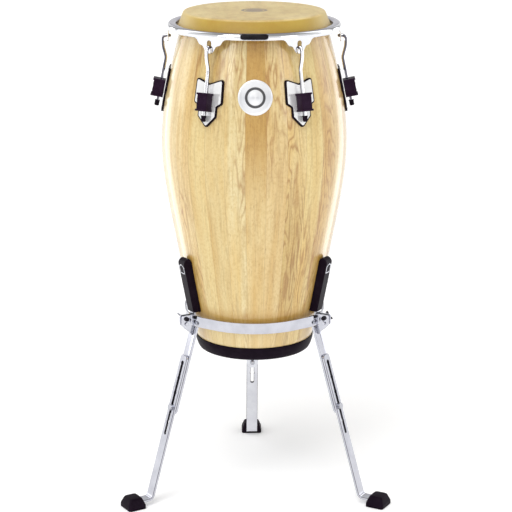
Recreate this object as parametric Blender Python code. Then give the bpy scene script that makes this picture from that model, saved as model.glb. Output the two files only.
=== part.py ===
"""Conga drum on a three-legged ring stand.

The drum is a hollow staved shell with a skin head, a tension rim pulled down by six hooked lug
rods, and a rubber ring on its foot.  The stand is a three-piece steel ring that carries three
padded uprights and three folding, length-adjustable legs.  Units are metres and +Z is up.
"""
import math

import bmesh
import bpy
from mathutils import Matrix, Vector

# ---- driving dimensions ---------------------------------------------------------------------
DRUM_AXIS_X = -0.003362     # the drum stands a little off the middle of its footprint
DRUM_AXIS_Y = -0.064842
GAP = 0.0003                # running gap between neighbouring pieces
SEGMENTS = 48               # facets round the shell

LUG_AZIMUTHS = (-30, 30, 90, 150, -150, -90)      # degrees from the front, towards +X
STAND_TURN = 1.3            # the stand is turned this far about the drum, in degrees
LEG_AZIMUTHS = (-60 + STAND_TURN, 60 + STAND_TURN, 180 + STAND_TURN)
WING_SIDES = (-1, 1, 1)     # the side of each bracket that its wing bolt is turned from

# Shell, as (height, outer radius) stations of one smooth curve.
SHELL_STATIONS = ((0.3492, 0.1268), (0.5286, 0.1622), (0.6888, 0.1904), (0.7780, 0.1968),
                  (0.8700, 0.1886), (0.9600, 0.1692), (1.0400, 0.1481))
SHELL_ROWS = 13
SHELL_WALL = 0.011
SHELL_TOP = 1.0482
BOTTOM_RING_LOW = 0.3209
BOTTOM_RING_FOOT_R = 0.1196

# Head, flesh hoop and tension rim.
HEAD_TOP = 1.0509
HEAD_SKIN = 0.0024
HOOP_R = 0.1675
HOOP_Z = 1.0180
HOOP_SECTION_R = 0.0030
RIM_OUTER_R = 0.1824
RIM_INNER_R = 0.1640
RIM_SHEET = 0.0025
RIM_TOP = 1.0282
RIM_BAND_LOW = 1.0145
# Half of an ear's lower edge, as (distance along the rim, height).
EAR_EDGE = ((0.0000, 0.9850), (0.0060, 0.9856), (0.0105, 0.9895), (0.0150, 0.9990),
            (0.0250, 1.0030), (0.0290, 1.0100), (0.0350, 1.0145))
SLOT_HALF_WIDTH = 0.0050
SLOT_LOW = 0.9939
SLOT_TOP = 1.0120

# Lugs.  Each lug's frame sits on its rod's axis, at the middle of the block.
LUG_R = 0.1994
LUG_Z = 0.8885
LUG_TILT = math.radians(11.5)
ROD_RADIUS = 0.0038
ROD_TAIL = 0.0375           # from the block's middle down to the rod's lower end
ROD_BEND = 0.0640           # from the block's middle up to where the rod leaves its axis
HOOK_Z = 0.9980
HOOK_TIP_R = 0.1745
PLATE_FRONT = -0.0099
PLATE_THICKNESS = 0.0015
GASKET_MARGIN = 0.0030
ARM_HALF_WIDTH = 0.0080
ARM_HALF_HEIGHT = 0.0025
ARM_REACH = 0.0075
BLOCK_HALF_WIDTH = 0.0112
BLOCK_HALF_HEIGHT = 0.0180
BLOCK_DEPTH = 0.0245
BLOCK_LIP = 0.0018
NUT_RADIUS = 0.0069
NUT_HEIGHT = 0.0080

BADGE_AZIMUTH = 0.6
BADGE_RADIUS = 0.0352
BADGE_Z = 0.8997
BADGE_THICKNESS = 0.0012

# Stand.
RING_R = 0.1500             # middle of the band, between two brackets
BRACKET_RING_R = 0.15775    # middle of the band where it turns into an ear
RING_THICKNESS = 0.0035
RING_LOW = 0.3890
RING_TOP = 0.4118
FLARE_ANGLE = math.radians(25)
EAR_OFFSET = 0.00485
EAR_TIP_R = 0.1830
EAR_BEND_R = 0.0040
PIVOT_R = 0.1730
PIVOT_Z = 0.3935
PIVOT_PIN_RADIUS = 0.0025
WING_BOLT_Z = 0.4045
BOLT_RADIUS = 0.0030
HOLE_RADIUS = 0.0033

BAR_THICKNESS = 0.0050
UPRIGHT_HALF_WIDTH = 0.0090
UPRIGHT_R = 0.1532
UPRIGHT_LOW = 0.3985
UPRIGHT_BEND_Z = 0.4130
UPRIGHT_TOP = 0.5240
SADDLE_THICKNESS = 0.0030   # the cross piece that rivets the upright to two band ends
SADDLE_LOW = 0.3895
SADDLE_TOP = 0.4090
SADDLE_ANGLES = (-10.0, -7.5, -5.0, 5.0, 7.5, 10.0)
SADDLE_GAP = 0.0006
SADDLE_NOTCH_HALF = 0.0140  # clear of the upper leg when it folds
RIVET_ANGLE = 7.9
RIVET_Z = 0.3966
RIVET_RADIUS = 0.0020
RIVET_HEAD_RADIUS = 0.0042
RIVET_HEAD_HEIGHT = 0.0016
RIVET_SEAT = 0.0008         # from the band to a rivet head, because the band slopes there
PAD_TILT = math.radians(10.5)
PAD_HALF_WIDTH = 0.0120
PAD_LOW = 0.4180
PAD_TOP = 0.5380
PAD_OUTER_R = 0.1590        # at the pad's lower end
PAD_CORNER = 0.0110
PAD_INNER_TOP_R = 0.1646    # where the pad leaves the shell, at its upper end
PAD_INNER_CORNER = 0.0060

LEG_TILT = math.radians(16.4)
UPPER_BAR_X = -0.0251       # middle of the upper bar, in the leg's frame
LOWER_BAR_X = -0.0198
UPPER_BAR_TOP = -0.0020
UPPER_BAR_LOW = -0.2010
LEG_HALF_WIDTH = 0.0130
LOWER_BAR_TOP = -0.0690
TONGUE_HALF = 0.0028
LOCK_BOLT_Z = -0.1860
NOTCH_PITCH = 0.0331
NOTCHES_ABOVE = 3
NOTCHES_BELOW = 1
NOTCH_RADIUS = 0.0047
LEG_SLOT_HALF_WIDTH = 0.0036
LEG_SLOT_LOW = -0.2470
FOOT_INNER_R = 0.2850
FOOT_OUTER_R = 0.3262
FOOT_HALF_WIDTH = 0.0232
FOOT_HEIGHT = 0.0245
FOOT_WALL = 0.0090          # height of the upright wall below the sloping sides
FOOT_SLOPE = 0.0065         # how far the sides lean in above it
FOOT_CORNER = 0.0060
TOE_Z = 0.0128              # middle of the bar inside the foot
TOE_BEND_R = 0.0110
TOE_END_R = 0.3180


# ---- small tools ----------------------------------------------------------------------------
def clear_scene():
    for item in list(bpy.data.objects):
        bpy.data.objects.remove(item, do_unlink=True)


def material(name, colour, roughness, metallic):
    made = bpy.data.materials.new(name)
    made.use_nodes = True
    shader = made.node_tree.nodes["Principled BSDF"]
    shader.inputs["Base Color"].default_value = (*colour, 1.0)
    shader.inputs["Roughness"].default_value = roughness
    shader.inputs["Metallic"].default_value = metallic
    made.diffuse_color = (*colour, 1.0)
    return made


def frame(name, location, tilt=0.0, turn=0.0, parent=None):
    """An empty whose +X points outwards and whose +Z leans inwards by tilt."""
    empty = bpy.data.objects.new(name, None)
    empty.location = location
    empty.rotation_euler = (0.0, -tilt, turn)
    empty.parent = parent
    bpy.context.scene.collection.objects.link(empty)
    return empty


def place(name, mesh, finish, parent, turn=0.0):
    thing = bpy.data.objects.new(name, mesh)
    thing.parent = parent
    thing.rotation_euler = (0.0, 0.0, turn)
    mesh.materials.clear()
    mesh.materials.append(finish)
    mesh.shade_smooth()
    mesh.set_sharp_from_angle(angle=math.radians(35))
    bpy.context.scene.collection.objects.link(thing)
    return thing


def to_mesh(shape, name):
    bmesh.ops.recalc_face_normals(shape, faces=shape.faces)
    mesh = bpy.data.meshes.new(name)
    shape.to_mesh(mesh)
    shape.free()
    return mesh


def combined(mesh, others, operation):
    """The mesh with each of the others joined to it (UNION) or cut from it (DIFFERENCE)."""
    scene = bpy.context.scene
    body = bpy.data.objects.new("body", mesh)
    scene.collection.objects.link(body)
    tools = []
    for other in others:
        tool = bpy.data.objects.new("tool", other)
        scene.collection.objects.link(tool)
        step = body.modifiers.new("Boolean", "BOOLEAN")
        step.operation = operation
        step.object = tool
        tools.append(tool)
    evaluated = body.evaluated_get(bpy.context.evaluated_depsgraph_get())
    result = bpy.data.meshes.new_from_object(evaluated)
    for item in (body, *tools):
        bpy.data.objects.remove(item, do_unlink=True)
    return result


def lathe(outline, segments=SEGMENTS, name="turned"):
    """Turn a closed (radius, height) outline about Z."""
    shape = bmesh.new()
    points = [shape.verts.new((radius, 0.0, height)) for radius, height in outline]
    edges = [shape.edges.new((a, b)) for a, b in zip(points, points[1:] + points[:1])
             if a.co.x > 0 or b.co.x > 0]
    bmesh.ops.spin(shape, geom=points + edges, cent=(0, 0, 0), axis=(0, 0, 1),
                   angle=math.tau, steps=segments, use_merge=True)
    bmesh.ops.remove_doubles(shape, verts=shape.verts, dist=1e-6)
    return to_mesh(shape, name)


def prism(outline, low, high, across="z", matrix=None):
    """Extrude a closed outline from low to high along one axis.

    The outline's two numbers are the other two axes in x, y, z order.
    """
    slots = {"x": (1, 2, 0), "y": (0, 2, 1), "z": (0, 1, 2)}[across]
    shape = bmesh.new()
    ring = []
    for first, second in outline:
        corner = [0.0, 0.0, 0.0]
        corner[slots[0]] = first
        corner[slots[1]] = second
        corner[slots[2]] = low
        ring.append(shape.verts.new(corner))
    cap = shape.faces.new(ring)
    grown = bmesh.ops.extrude_face_region(shape, geom=[cap])
    step = Vector((0, 0, 0))
    step[slots[2]] = high - low
    moved = [item for item in grown["geom"] if isinstance(item, bmesh.types.BMVert)]
    bmesh.ops.translate(shape, verts=moved, vec=step)
    if matrix is not None:
        shape.transform(matrix)
    return to_mesh(shape, "prism")


def circle(radius, sides, centre=(0.0, 0.0), start=0.0):
    return [(centre[0] + radius * math.cos(start + math.tau * step / sides),
             centre[1] + radius * math.sin(start + math.tau * step / sides))
            for step in range(sides)]


def arc(centre, radius, begin, end, steps):
    """Points on an arc, with its angles in degrees."""
    return [(centre[0] + radius * math.cos(math.radians(begin + (end - begin) * k / steps)),
             centre[1] + radius * math.sin(math.radians(begin + (end - begin) * k / steps)))
            for k in range(steps + 1)]


def box(low, high):
    outline = [(low[0], low[1]), (high[0], low[1]), (high[0], high[1]), (low[0], high[1])]
    return prism(outline, low[2], high[2])


def offset(outline, distance, closed=True):
    """Shift a counter-clockwise outline outwards, or an open path to its right."""
    result = []
    count = len(outline)
    for index, point in enumerate(outline):
        here = Vector(point)
        before = Vector(outline[index - 1]) if closed or index > 0 else None
        after = Vector(outline[(index + 1) % count]) if closed or index < count - 1 else None
        into = (here - before).normalized() if before is not None else None
        away = (after - here).normalized() if after is not None else None
        into = into or away
        away = away or into
        normal = Vector((into.y + away.y, -into.x - away.x)).normalized()
        result.append(tuple(here + normal * distance / normal.dot(Vector((away.y, -away.x)))))
    return result


def strip(path, thickness):
    """The closed outline of a bar of one thickness along an open path."""
    right = offset(path, thickness / 2, closed=False)
    left = offset(path, -thickness / 2, closed=False)
    return right + left[::-1]


def smooth_curve(stations, rows):
    """Evenly spaced (radius, height) points on a curve through (height, radius) stations."""
    last = len(stations) - 1
    slopes = []
    for index in range(len(stations)):
        low = stations[max(index - 1, 0)]
        high = stations[min(index + 1, last)]
        slopes.append((high[1] - low[1]) / (high[0] - low[0]))
    points = []
    for row in range(rows + 1):
        height = stations[0][0] + (stations[last][0] - stations[0][0]) * row / rows
        index = max(k for k in range(last) if stations[k][0] <= height + 1e-9)
        (z0, r0), (z1, r1) = stations[index], stations[index + 1]
        span = z1 - z0
        t = (height - z0) / span
        radius = ((2 * t ** 3 - 3 * t ** 2 + 1) * r0 + (t ** 3 - 2 * t ** 2 + t) * span * slopes[index]
                  + (3 * t ** 2 - 2 * t ** 3) * r1 + (t ** 3 - t ** 2) * span * slopes[index + 1])
        points.append((radius, height))
    return points


# ---- drum -----------------------------------------------------------------------------------
def shell_outline(grow=0.0):
    return [(radius + grow, height) for radius, height in smooth_curve(SHELL_STATIONS, SHELL_ROWS)]


def shell_mesh():
    outer = shell_outline()
    bearing_edge = [(0.1464, 1.0455), (0.1436, SHELL_TOP), (0.1400, SHELL_TOP), (0.1370, 1.0440)]
    inner = [(radius - SHELL_WALL, height) for radius, height in outer[::2]]
    return lathe(outer + bearing_edge + inner[::-1], name="shell")


def envelope(grow):
    """A plain solid as wide as the shell plus a margin, for fitting pieces to the shell."""
    outer = shell_outline(grow)
    return lathe([(0.0, outer[0][1])] + outer + [(0.0, outer[-1][1])], name="envelope")


def bottom_ring_mesh():
    top = SHELL_STATIONS[0][0] - GAP
    outer_r = SHELL_STATIONS[0][1]
    lip_r = outer_r - SHELL_WALL - GAP - 0.0012
    outline = [(outer_r + 0.0012, top), (outer_r + 0.0008, top - 0.0080),
               (outer_r - 0.0030, top - 0.0205), (BOTTOM_RING_FOOT_R, BOTTOM_RING_LOW),
               (lip_r - 0.0045, BOTTOM_RING_LOW), (lip_r - 0.0030, top + 0.0080),
               (lip_r, top + 0.0080), (lip_r, top)]
    return lathe(outline, name="bottom_ring")


def drumhead_mesh():
    """The skin: a flat top, flared sides and a tuck that wraps under the flesh hoop."""
    wrap_in = HOOP_R - HOOP_SECTION_R - GAP
    wrap_out = HOOP_R + HOOP_SECTION_R + GAP
    wrap_low = HOOP_Z - HOOP_SECTION_R
    over = [(0.0, HEAD_TOP), (0.1445, HEAD_TOP), (0.1485, HEAD_TOP - 0.0018),
            (0.1500, HEAD_TOP - 0.0050), (0.1598, HOOP_Z + 0.0042), (wrap_in, HOOP_Z + 0.0008),
            (HOOP_R - 0.0019, wrap_low), (HOOP_R + 0.0019, wrap_low), (wrap_out, HOOP_Z),
            (wrap_out, HOOP_Z + 0.0015)]
    under = [(0.0, HEAD_TOP - HEAD_SKIN), (0.1440, HEAD_TOP - HEAD_SKIN), (0.1474, HEAD_TOP - 0.0056),
             (0.1572, HOOP_Z + 0.0030), (wrap_in - HEAD_SKIN, HOOP_Z - 0.0010),
             (HOOP_R - 0.0031, wrap_low - HEAD_SKIN), (HOOP_R + 0.0031, wrap_low - HEAD_SKIN),
             (wrap_out + HEAD_SKIN, HOOP_Z - 0.0010), (wrap_out + HEAD_SKIN, HOOP_Z + 0.0015)]
    return lathe(over + under[::-1], name="drumhead")


def flesh_hoop_mesh():
    return lathe(circle(HOOP_SECTION_R, 6, (HOOP_R, HOOP_Z)), name="flesh_hoop")


def ear_low(distance):
    """Height of the rim's lower edge at a distance along the rim from an ear's middle."""
    for (x0, z0), (x1, z1) in zip(EAR_EDGE, EAR_EDGE[1:]):
        if distance <= x1:
            return z0 + (z1 - z0) * (distance - x0) / (x1 - x0)
    return RIM_BAND_LOW


def rim_mesh():
    """A rolled band whose outer wall drops into six ears, each with an upright slot."""
    half = [step / RIM_OUTER_R for step, height in EAR_EDGE] + [math.radians(a) for a in (16, 23)]
    sector = [-angle for angle in half[:0:-1]] + half + [math.radians(30)]
    inside = RIM_OUTER_R - RIM_SHEET
    flange = HOOP_Z + HOOP_SECTION_R + GAP
    roll = [(RIM_OUTER_R, 1.0205), (0.1795, 1.0262), (0.1745, RIM_TOP), (0.1690, RIM_TOP),
            (RIM_INNER_R, 1.0245), (RIM_INNER_R, flange), (RIM_INNER_R + RIM_SHEET, flange),
            (0.1700, RIM_TOP - RIM_SHEET), (0.1745, RIM_TOP - RIM_SHEET), (inside, 1.0195)]
    shape = bmesh.new()
    rings = []
    for azimuth in sorted(a % 360 for a in LUG_AZIMUTHS):
        for turn in sector:
            low = ear_low(abs(turn) * RIM_OUTER_R)
            heading = math.radians(azimuth - 90) + turn
            rings.append([shape.verts.new((r * math.cos(heading), r * math.sin(heading), z))
                          for r, z in [(RIM_OUTER_R, low)] + roll + [(inside, low)]])
    count = len(rings[0])
    for ring, following in zip(rings, rings[1:] + rings[:1]):
        for k in range(count):
            shape.faces.new((ring[k], ring[(k + 1) % count],
                             following[(k + 1) % count], following[k]))
    band = to_mesh(shape, "tension_rim")
    slot = (arc((0.0, SLOT_TOP - SLOT_HALF_WIDTH), SLOT_HALF_WIDTH, 0, 180, 6)
            + arc((0.0, SLOT_LOW + SLOT_HALF_WIDTH), SLOT_HALF_WIDTH, 180, 360, 6))
    cutters = [prism(slot, 0.1720, 0.1900, "x", Matrix.Rotation(math.radians(a - 90), 4, "Z"))
               for a in LUG_AZIMUTHS]
    return combined(band, cutters, "DIFFERENCE")


def badge_mesh():
    """A thin round disc that follows the shell's curve."""
    disc = prism(circle(BADGE_RADIUS, 26, (0.0, BADGE_Z), 0.05), 0.150, 0.230, "x")
    skin = combined(disc, [envelope(GAP)], "DIFFERENCE")
    return combined(skin, [envelope(GAP + BADGE_THICKNESS)], "INTERSECT")


# ---- lugs, in the lug's frame ---------------------------------------------------------------
def plate_outline():
    right = [(0.0, -0.0478), (0.0186, -0.0278), (0.0190, -0.0070), (0.0302, 0.0005),
             (0.0285, 0.0460), (0.0, 0.0352)]
    return right + [(-y, z) for y, z in right[-2:0:-1]]


def to_lug_frame():
    place_lug = Matrix.Translation((LUG_R, 0, LUG_Z)) @ Matrix.Rotation(-LUG_TILT, 4, "Y")
    return place_lug.inverted()


def gasket_mesh():
    front = PLATE_FRONT - PLATE_THICKNESS - GAP
    slab = prism(offset(plate_outline(), GASKET_MARGIN), front - 0.020, front, "x")
    hollow = envelope(GAP)
    hollow.transform(to_lug_frame())
    return combined(slab, [hollow], "DIFFERENCE")


def side_plate_mesh():
    """A shield-shaped plate with a flat arm that holds the rod's lower end."""
    plate = prism(plate_outline(), PLATE_FRONT - PLATE_THICKNESS, PLATE_FRONT, "x")
    reach = arc((0.0, 0.0), ARM_HALF_WIDTH, -90, 90, 6)
    arm = prism([(PLATE_FRONT - 0.001, -ARM_HALF_WIDTH)] + reach + [(PLATE_FRONT - 0.001, ARM_HALF_WIDTH)],
                -ARM_HALF_HEIGHT, ARM_HALF_HEIGHT)
    hole = prism(circle(ROD_RADIUS + 0.0005, 12), -0.010, 0.010)
    return combined(combined(plate, [arm], "UNION"), [hole], "DIFFERENCE")


def lug_block_mesh():
    """A rubber block pushed over the arm: rod bore above it, nut recess below it."""
    back = PLATE_FRONT + GAP
    front = back + BLOCK_DEPTH
    side = BLOCK_HALF_WIDTH
    top = BLOCK_HALF_HEIGHT
    body = box((back, -side, -top), (front, side, top))
    lips = [box((back, -side - BLOCK_LIP, low), (front + BLOCK_LIP, side + BLOCK_LIP, low + 0.0040))
            for low in (-top - 0.0005, top - 0.0035)]
    pocket = box((back - 0.005, -ARM_HALF_WIDTH - GAP, -ARM_HALF_HEIGHT - GAP),
                 (ARM_REACH + 0.0012, ARM_HALF_WIDTH + GAP, ARM_HALF_HEIGHT + GAP))
    bore = prism(circle(ROD_RADIUS + 0.0004, 12), 0.0, 0.030)
    recess = prism(circle(NUT_RADIUS + 0.0006, 16), -0.030, 0.0)
    return combined(combined(body, lips, "UNION"), [pocket, bore, recess], "DIFFERENCE")


def rod_path():
    """The hooked rod's middle line as (radius, height), from its lower end to the hook's tip."""
    def on_axis(distance):
        return (LUG_R - distance * math.sin(LUG_TILT), LUG_Z + distance * math.cos(LUG_TILT))
    bend = on_axis(ROD_BEND)
    shoulder = (0.1922, 0.9790)
    straight = [on_axis(-ROD_TAIL), on_axis(0.0), on_axis(ROD_BEND * 0.7)]
    swell = [(bend[0] + (shoulder[0] - bend[0]) * blend, bend[1] + (shoulder[1] - bend[1]) * step)
             for step, blend in ((0.0, 0.04), (0.35, 0.30), (0.7, 0.75), (1.0, 1.0))]
    hook = arc((shoulder[0] - 0.0075, HOOK_Z - 0.0075), 0.0075, 0, 90, 4)
    return straight + swell + hook + [(HOOK_TIP_R, HOOK_Z)]


def lug_rod_mesh():
    """A round bar along the rod's path, as a bevelled curve with closed ends."""
    curve = bpy.data.curves.new("rod", "CURVE")
    curve.dimensions = "3D"
    curve.bevel_depth = ROD_RADIUS
    curve.bevel_resolution = 2
    curve.use_fill_caps = True
    path = rod_path()
    line = curve.splines.new("POLY")
    line.points.add(len(path) - 1)
    for point, (radius, height) in zip(line.points, path):
        point.co = (radius, 0.0, height, 1.0)
    holder = bpy.data.objects.new("rod", curve)
    bpy.context.scene.collection.objects.link(holder)
    evaluated = holder.evaluated_get(bpy.context.evaluated_depsgraph_get())
    mesh = bpy.data.meshes.new_from_object(evaluated)
    bpy.data.objects.remove(holder, do_unlink=True)
    shape = bmesh.new()
    shape.from_mesh(mesh)
    bmesh.ops.remove_doubles(shape, verts=shape.verts, dist=1e-6)
    shape.transform(to_lug_frame())
    return to_mesh(shape, "lug_rod")


def lug_nut_mesh():
    top = -ARM_HALF_HEIGHT - GAP
    body = prism(circle(NUT_RADIUS, 6), top - NUT_HEIGHT, top)
    hole = prism(circle(ROD_RADIUS + GAP, 12), -0.030, 0.010)
    return combined(body, [hole], "DIFFERENCE")


# ---- stand ----------------------------------------------------------------------------------
def band_radius(angle):
    """Middle of the band at an angle in radians from a bracket: it flares out near the bracket."""
    ease = min(abs(angle) / FLARE_ANGLE, 1.0)
    ease = ease * ease * (3 - 2 * ease)
    return BRACKET_RING_R + (RING_R - BRACKET_RING_R) * ease


def ring_path():
    """One arc of the band seen from above, from ear to ear, as (x, y) about the drum's axis.

    The arc is drawn about +X, so that its two brackets lie 60 degrees either side.
    """
    bend_start = EAR_OFFSET + EAR_BEND_R
    first = bend_start / BRACKET_RING_R
    half = [(EAR_TIP_R, EAR_OFFSET)]
    half += arc((BRACKET_RING_R + EAR_BEND_R, bend_start), EAR_BEND_R, 270, 180, 4)
    steps = 9
    for k in range(1, steps + 1):
        angle = first + (math.radians(60) - first) * k / steps
        radius = band_radius(angle)
        half.append((radius * math.cos(angle), radius * math.sin(angle)))
    turn = Matrix.Rotation(math.radians(-60), 2)
    near = [tuple(turn @ Vector(point)) for point in half]
    return near + [(x, -y) for x, y in near[-2::-1]]


def ring_arc_mesh():
    band = prism(strip(ring_path(), RING_THICKNESS), RING_LOW, RING_TOP)
    holes = []
    for turn in (-60, 60):
        for height, radius in ((PIVOT_Z, PIVOT_PIN_RADIUS + GAP), (WING_BOLT_Z, HOLE_RADIUS)):
            holes.append(prism(circle(radius, 12, (PIVOT_R, height)), -0.020, 0.020, "y",
                               Matrix.Rotation(math.radians(turn), 4, "Z")))
        rivet_turn = math.radians(turn - math.copysign(RIVET_ANGLE, turn))
        holes.append(prism(circle(RIVET_RADIUS + GAP, 12, (0.0, RIVET_Z)), 0.140, 0.170, "x",
                           Matrix.Rotation(rivet_turn, 4, "Z")))
    return combined(band, holes, "DIFFERENCE")


def upright_path(top):
    rise = top - UPRIGHT_BEND_Z
    return [(UPRIGHT_R, UPRIGHT_LOW), (UPRIGHT_R, UPRIGHT_BEND_Z),
            (UPRIGHT_R + rise * math.tan(PAD_TILT), top)]


def saddle_mesh():
    """The upright's cross piece: it lies inside two band ends and straddles the folding leg."""
    inwards = (RING_THICKNESS + SADDLE_THICKNESS) / 2 + SADDLE_GAP
    path = []
    for degrees in SADDLE_ANGLES:
        angle = math.radians(degrees)
        radius = band_radius(angle) - inwards
        path.append((radius * math.cos(angle), radius * math.sin(angle)))
    bar = prism(strip(path, SADDLE_THICKNESS), SADDLE_LOW, SADDLE_TOP)
    notch = box((0.140, -SADDLE_NOTCH_HALF, SADDLE_LOW - 0.010),
                (0.170, SADDLE_NOTCH_HALF, UPRIGHT_LOW))
    return combined(bar, [notch], "DIFFERENCE")


def upright_mesh():
    bar = prism(strip(upright_path(UPRIGHT_TOP), BAR_THICKNESS),
                -UPRIGHT_HALF_WIDTH, UPRIGHT_HALF_WIDTH, "y")
    band_face = band_radius(math.radians(RIVET_ANGLE)) + RING_THICKNESS / 2
    rivets = []
    for side in (-1, 1):
        turn = Matrix.Rotation(math.radians(side * RIVET_ANGLE), 4, "Z")
        shank_end = band_face + RIVET_SEAT + 0.0005
        rivets.append(prism(circle(RIVET_RADIUS, 12, (0.0, RIVET_Z)),
                            band_face - RING_THICKNESS - 0.0015, shank_end, "x", turn))
        rivets.append(prism(circle(RIVET_HEAD_RADIUS, 12, (0.0, RIVET_Z)),
                            band_face + RIVET_SEAT, band_face + RIVET_SEAT + RIVET_HEAD_HEIGHT, "x", turn))
    return combined(bar, [saddle_mesh(), *rivets], "UNION")


def pad_mesh():
    """A rubber sleeve over the upright, with its inner face shaped to the shell."""
    outer_top = PAD_OUTER_R + (PAD_TOP - PAD_LOW) * math.tan(PAD_TILT)
    outline = [(PAD_OUTER_R - 0.030, PAD_LOW), (PAD_OUTER_R, PAD_LOW)]
    lean = math.degrees(PAD_TILT)
    outline += arc((outer_top - PAD_CORNER, PAD_TOP - PAD_CORNER), PAD_CORNER, -lean, 90, 5)
    outline += arc((PAD_INNER_TOP_R + PAD_INNER_CORNER, PAD_TOP - PAD_INNER_CORNER),
                   PAD_INNER_CORNER, 90, 180, 4)
    outline += [(PAD_OUTER_R - 0.030, PAD_TOP - PAD_INNER_CORNER)]
    block = prism(outline, -PAD_HALF_WIDTH, PAD_HALF_WIDTH, "y")
    pocket = prism(strip(upright_path(UPRIGHT_TOP + 0.0005), BAR_THICKNESS + 2 * GAP),
                   -UPRIGHT_HALF_WIDTH - GAP, UPRIGHT_HALF_WIDTH + GAP, "y")
    return combined(block, [envelope(GAP), pocket], "DIFFERENCE")


# ---- legs, in the leg's frame, whose origin is the fold pivot -------------------------------
def tongue_outline():
    """The lug on the upper leg, seen from the side, in level (outward, up) distances.

    Its finger rests on the wing bolt, which stops the leg from opening any further.
    """
    bolt_rise = WING_BOLT_Z - PIVOT_Z
    heel_radius = bolt_rise - BOLT_RADIUS - 0.0006
    finger_in = BOLT_RADIUS + GAP
    finger_top = bolt_rise + 0.0045
    return ([(-0.0230, -0.0400), (-0.0120, -0.0230), (0.0020, -0.0115), (0.0085, -0.0040),
             (0.0085, 0.0060), (0.0078, finger_top), (finger_in, finger_top)]
            + arc((0.0, 0.0), heel_radius, 64, 170, 6)
            + [(-0.0140, -0.0062), (-0.0230, -0.0095)])


def upper_leg_mesh():
    low_end = arc((0.0, UPPER_BAR_LOW + LEG_HALF_WIDTH), LEG_HALF_WIDTH, 180, 360, 8)
    bar = prism([(LEG_HALF_WIDTH, UPPER_BAR_TOP), (-LEG_HALF_WIDTH, UPPER_BAR_TOP)] + low_end,
                UPPER_BAR_X - BAR_THICKNESS / 2, UPPER_BAR_X + BAR_THICKNESS / 2, "x")
    level = Matrix.Rotation(LEG_TILT, 4, "Y")
    tongue = prism(tongue_outline(), -TONGUE_HALF, TONGUE_HALF, "y", level)
    ear_face = EAR_OFFSET + RING_THICKNESS / 2
    pin = prism(circle(PIVOT_PIN_RADIUS, 12), -ear_face - 0.0020, ear_face + 0.0020, "y")
    heads = [prism(circle(0.0040, 12), side * (ear_face + 0.0004), side * (ear_face + 0.0032), "y")
             for side in (-1, 1)]
    hole = prism(circle(HOLE_RADIUS, 12, (0.0, LOCK_BOLT_Z)), -0.050, 0.0, "x")
    solid = combined(bar, [tongue, pin, *heads], "UNION")
    return combined(solid, [hole], "DIFFERENCE")


def leg_point(radius, height):
    """A (radius, height) point as (x, z) in the leg's frame."""
    out = radius - PIVOT_R
    up = height - PIVOT_Z
    return (out * math.cos(LEG_TILT) + up * math.sin(LEG_TILT),
            -out * math.sin(LEG_TILT) + up * math.cos(LEG_TILT))


def toe_path():
    """The lower bar's middle line: straight down the leg, then bent level into the foot."""
    drop = (TOE_Z - PIVOT_Z - LOWER_BAR_X * math.sin(LEG_TILT)) / math.cos(LEG_TILT)
    corner = Vector((LOWER_BAR_X, drop))
    level = Vector((math.cos(LEG_TILT), -math.sin(LEG_TILT)))
    turn = math.pi / 2 - LEG_TILT
    centre = corner + Vector((TOE_BEND_R, TOE_BEND_R * math.tan(turn / 2)))
    bend = arc(tuple(centre), TOE_BEND_R, 180, 180 + math.degrees(turn), 6)
    reach = TOE_END_R - (PIVOT_R + LOWER_BAR_X * math.cos(LEG_TILT) - drop * math.sin(LEG_TILT))
    end = corner + level * reach
    return [(LOWER_BAR_X, LOWER_BAR_TOP)] + bend + [tuple(end)]


def notched_slot():
    """The outline of the lower bar's slot, with a round notch at each leg length."""
    notches = [LOCK_BOLT_Z + NOTCH_PITCH * k for k in range(-NOTCHES_BELOW, NOTCHES_ABOVE + 1)]
    cut = math.degrees(math.asin(LEG_SLOT_HALF_WIDTH / NOTCH_RADIUS))
    right = arc((0.0, LEG_SLOT_LOW + LEG_SLOT_HALF_WIDTH), LEG_SLOT_HALF_WIDTH, -90, 0, 4)
    for index, height in enumerate(notches):
        begin = -90 + cut
        end = 90 if index == len(notches) - 1 else 90 - cut
        right += arc((0.0, height), NOTCH_RADIUS, begin, end, 5)
    return right + [(-y, z) for y, z in right[-2:0:-1]]


def lower_leg_mesh():
    bar = prism(strip(toe_path(), BAR_THICKNESS), -LEG_HALF_WIDTH, LEG_HALF_WIDTH, "y")
    slot = prism(notched_slot(), LOWER_BAR_X - 0.010, LOWER_BAR_X + 0.010, "x")
    corner = 0.008
    trims = []
    for side in (-1, 1):
        tip = (side * (LEG_HALF_WIDTH + 0.001), LOWER_BAR_TOP + 0.001)
        trims.append(prism([tip, (tip[0], LOWER_BAR_TOP - corner),
                            (side * (LEG_HALF_WIDTH - corner), tip[1])],
                           LOWER_BAR_X - 0.010, LOWER_BAR_X + 0.010, "x"))
    return combined(bar, [slot, *trims], "DIFFERENCE")


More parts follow.
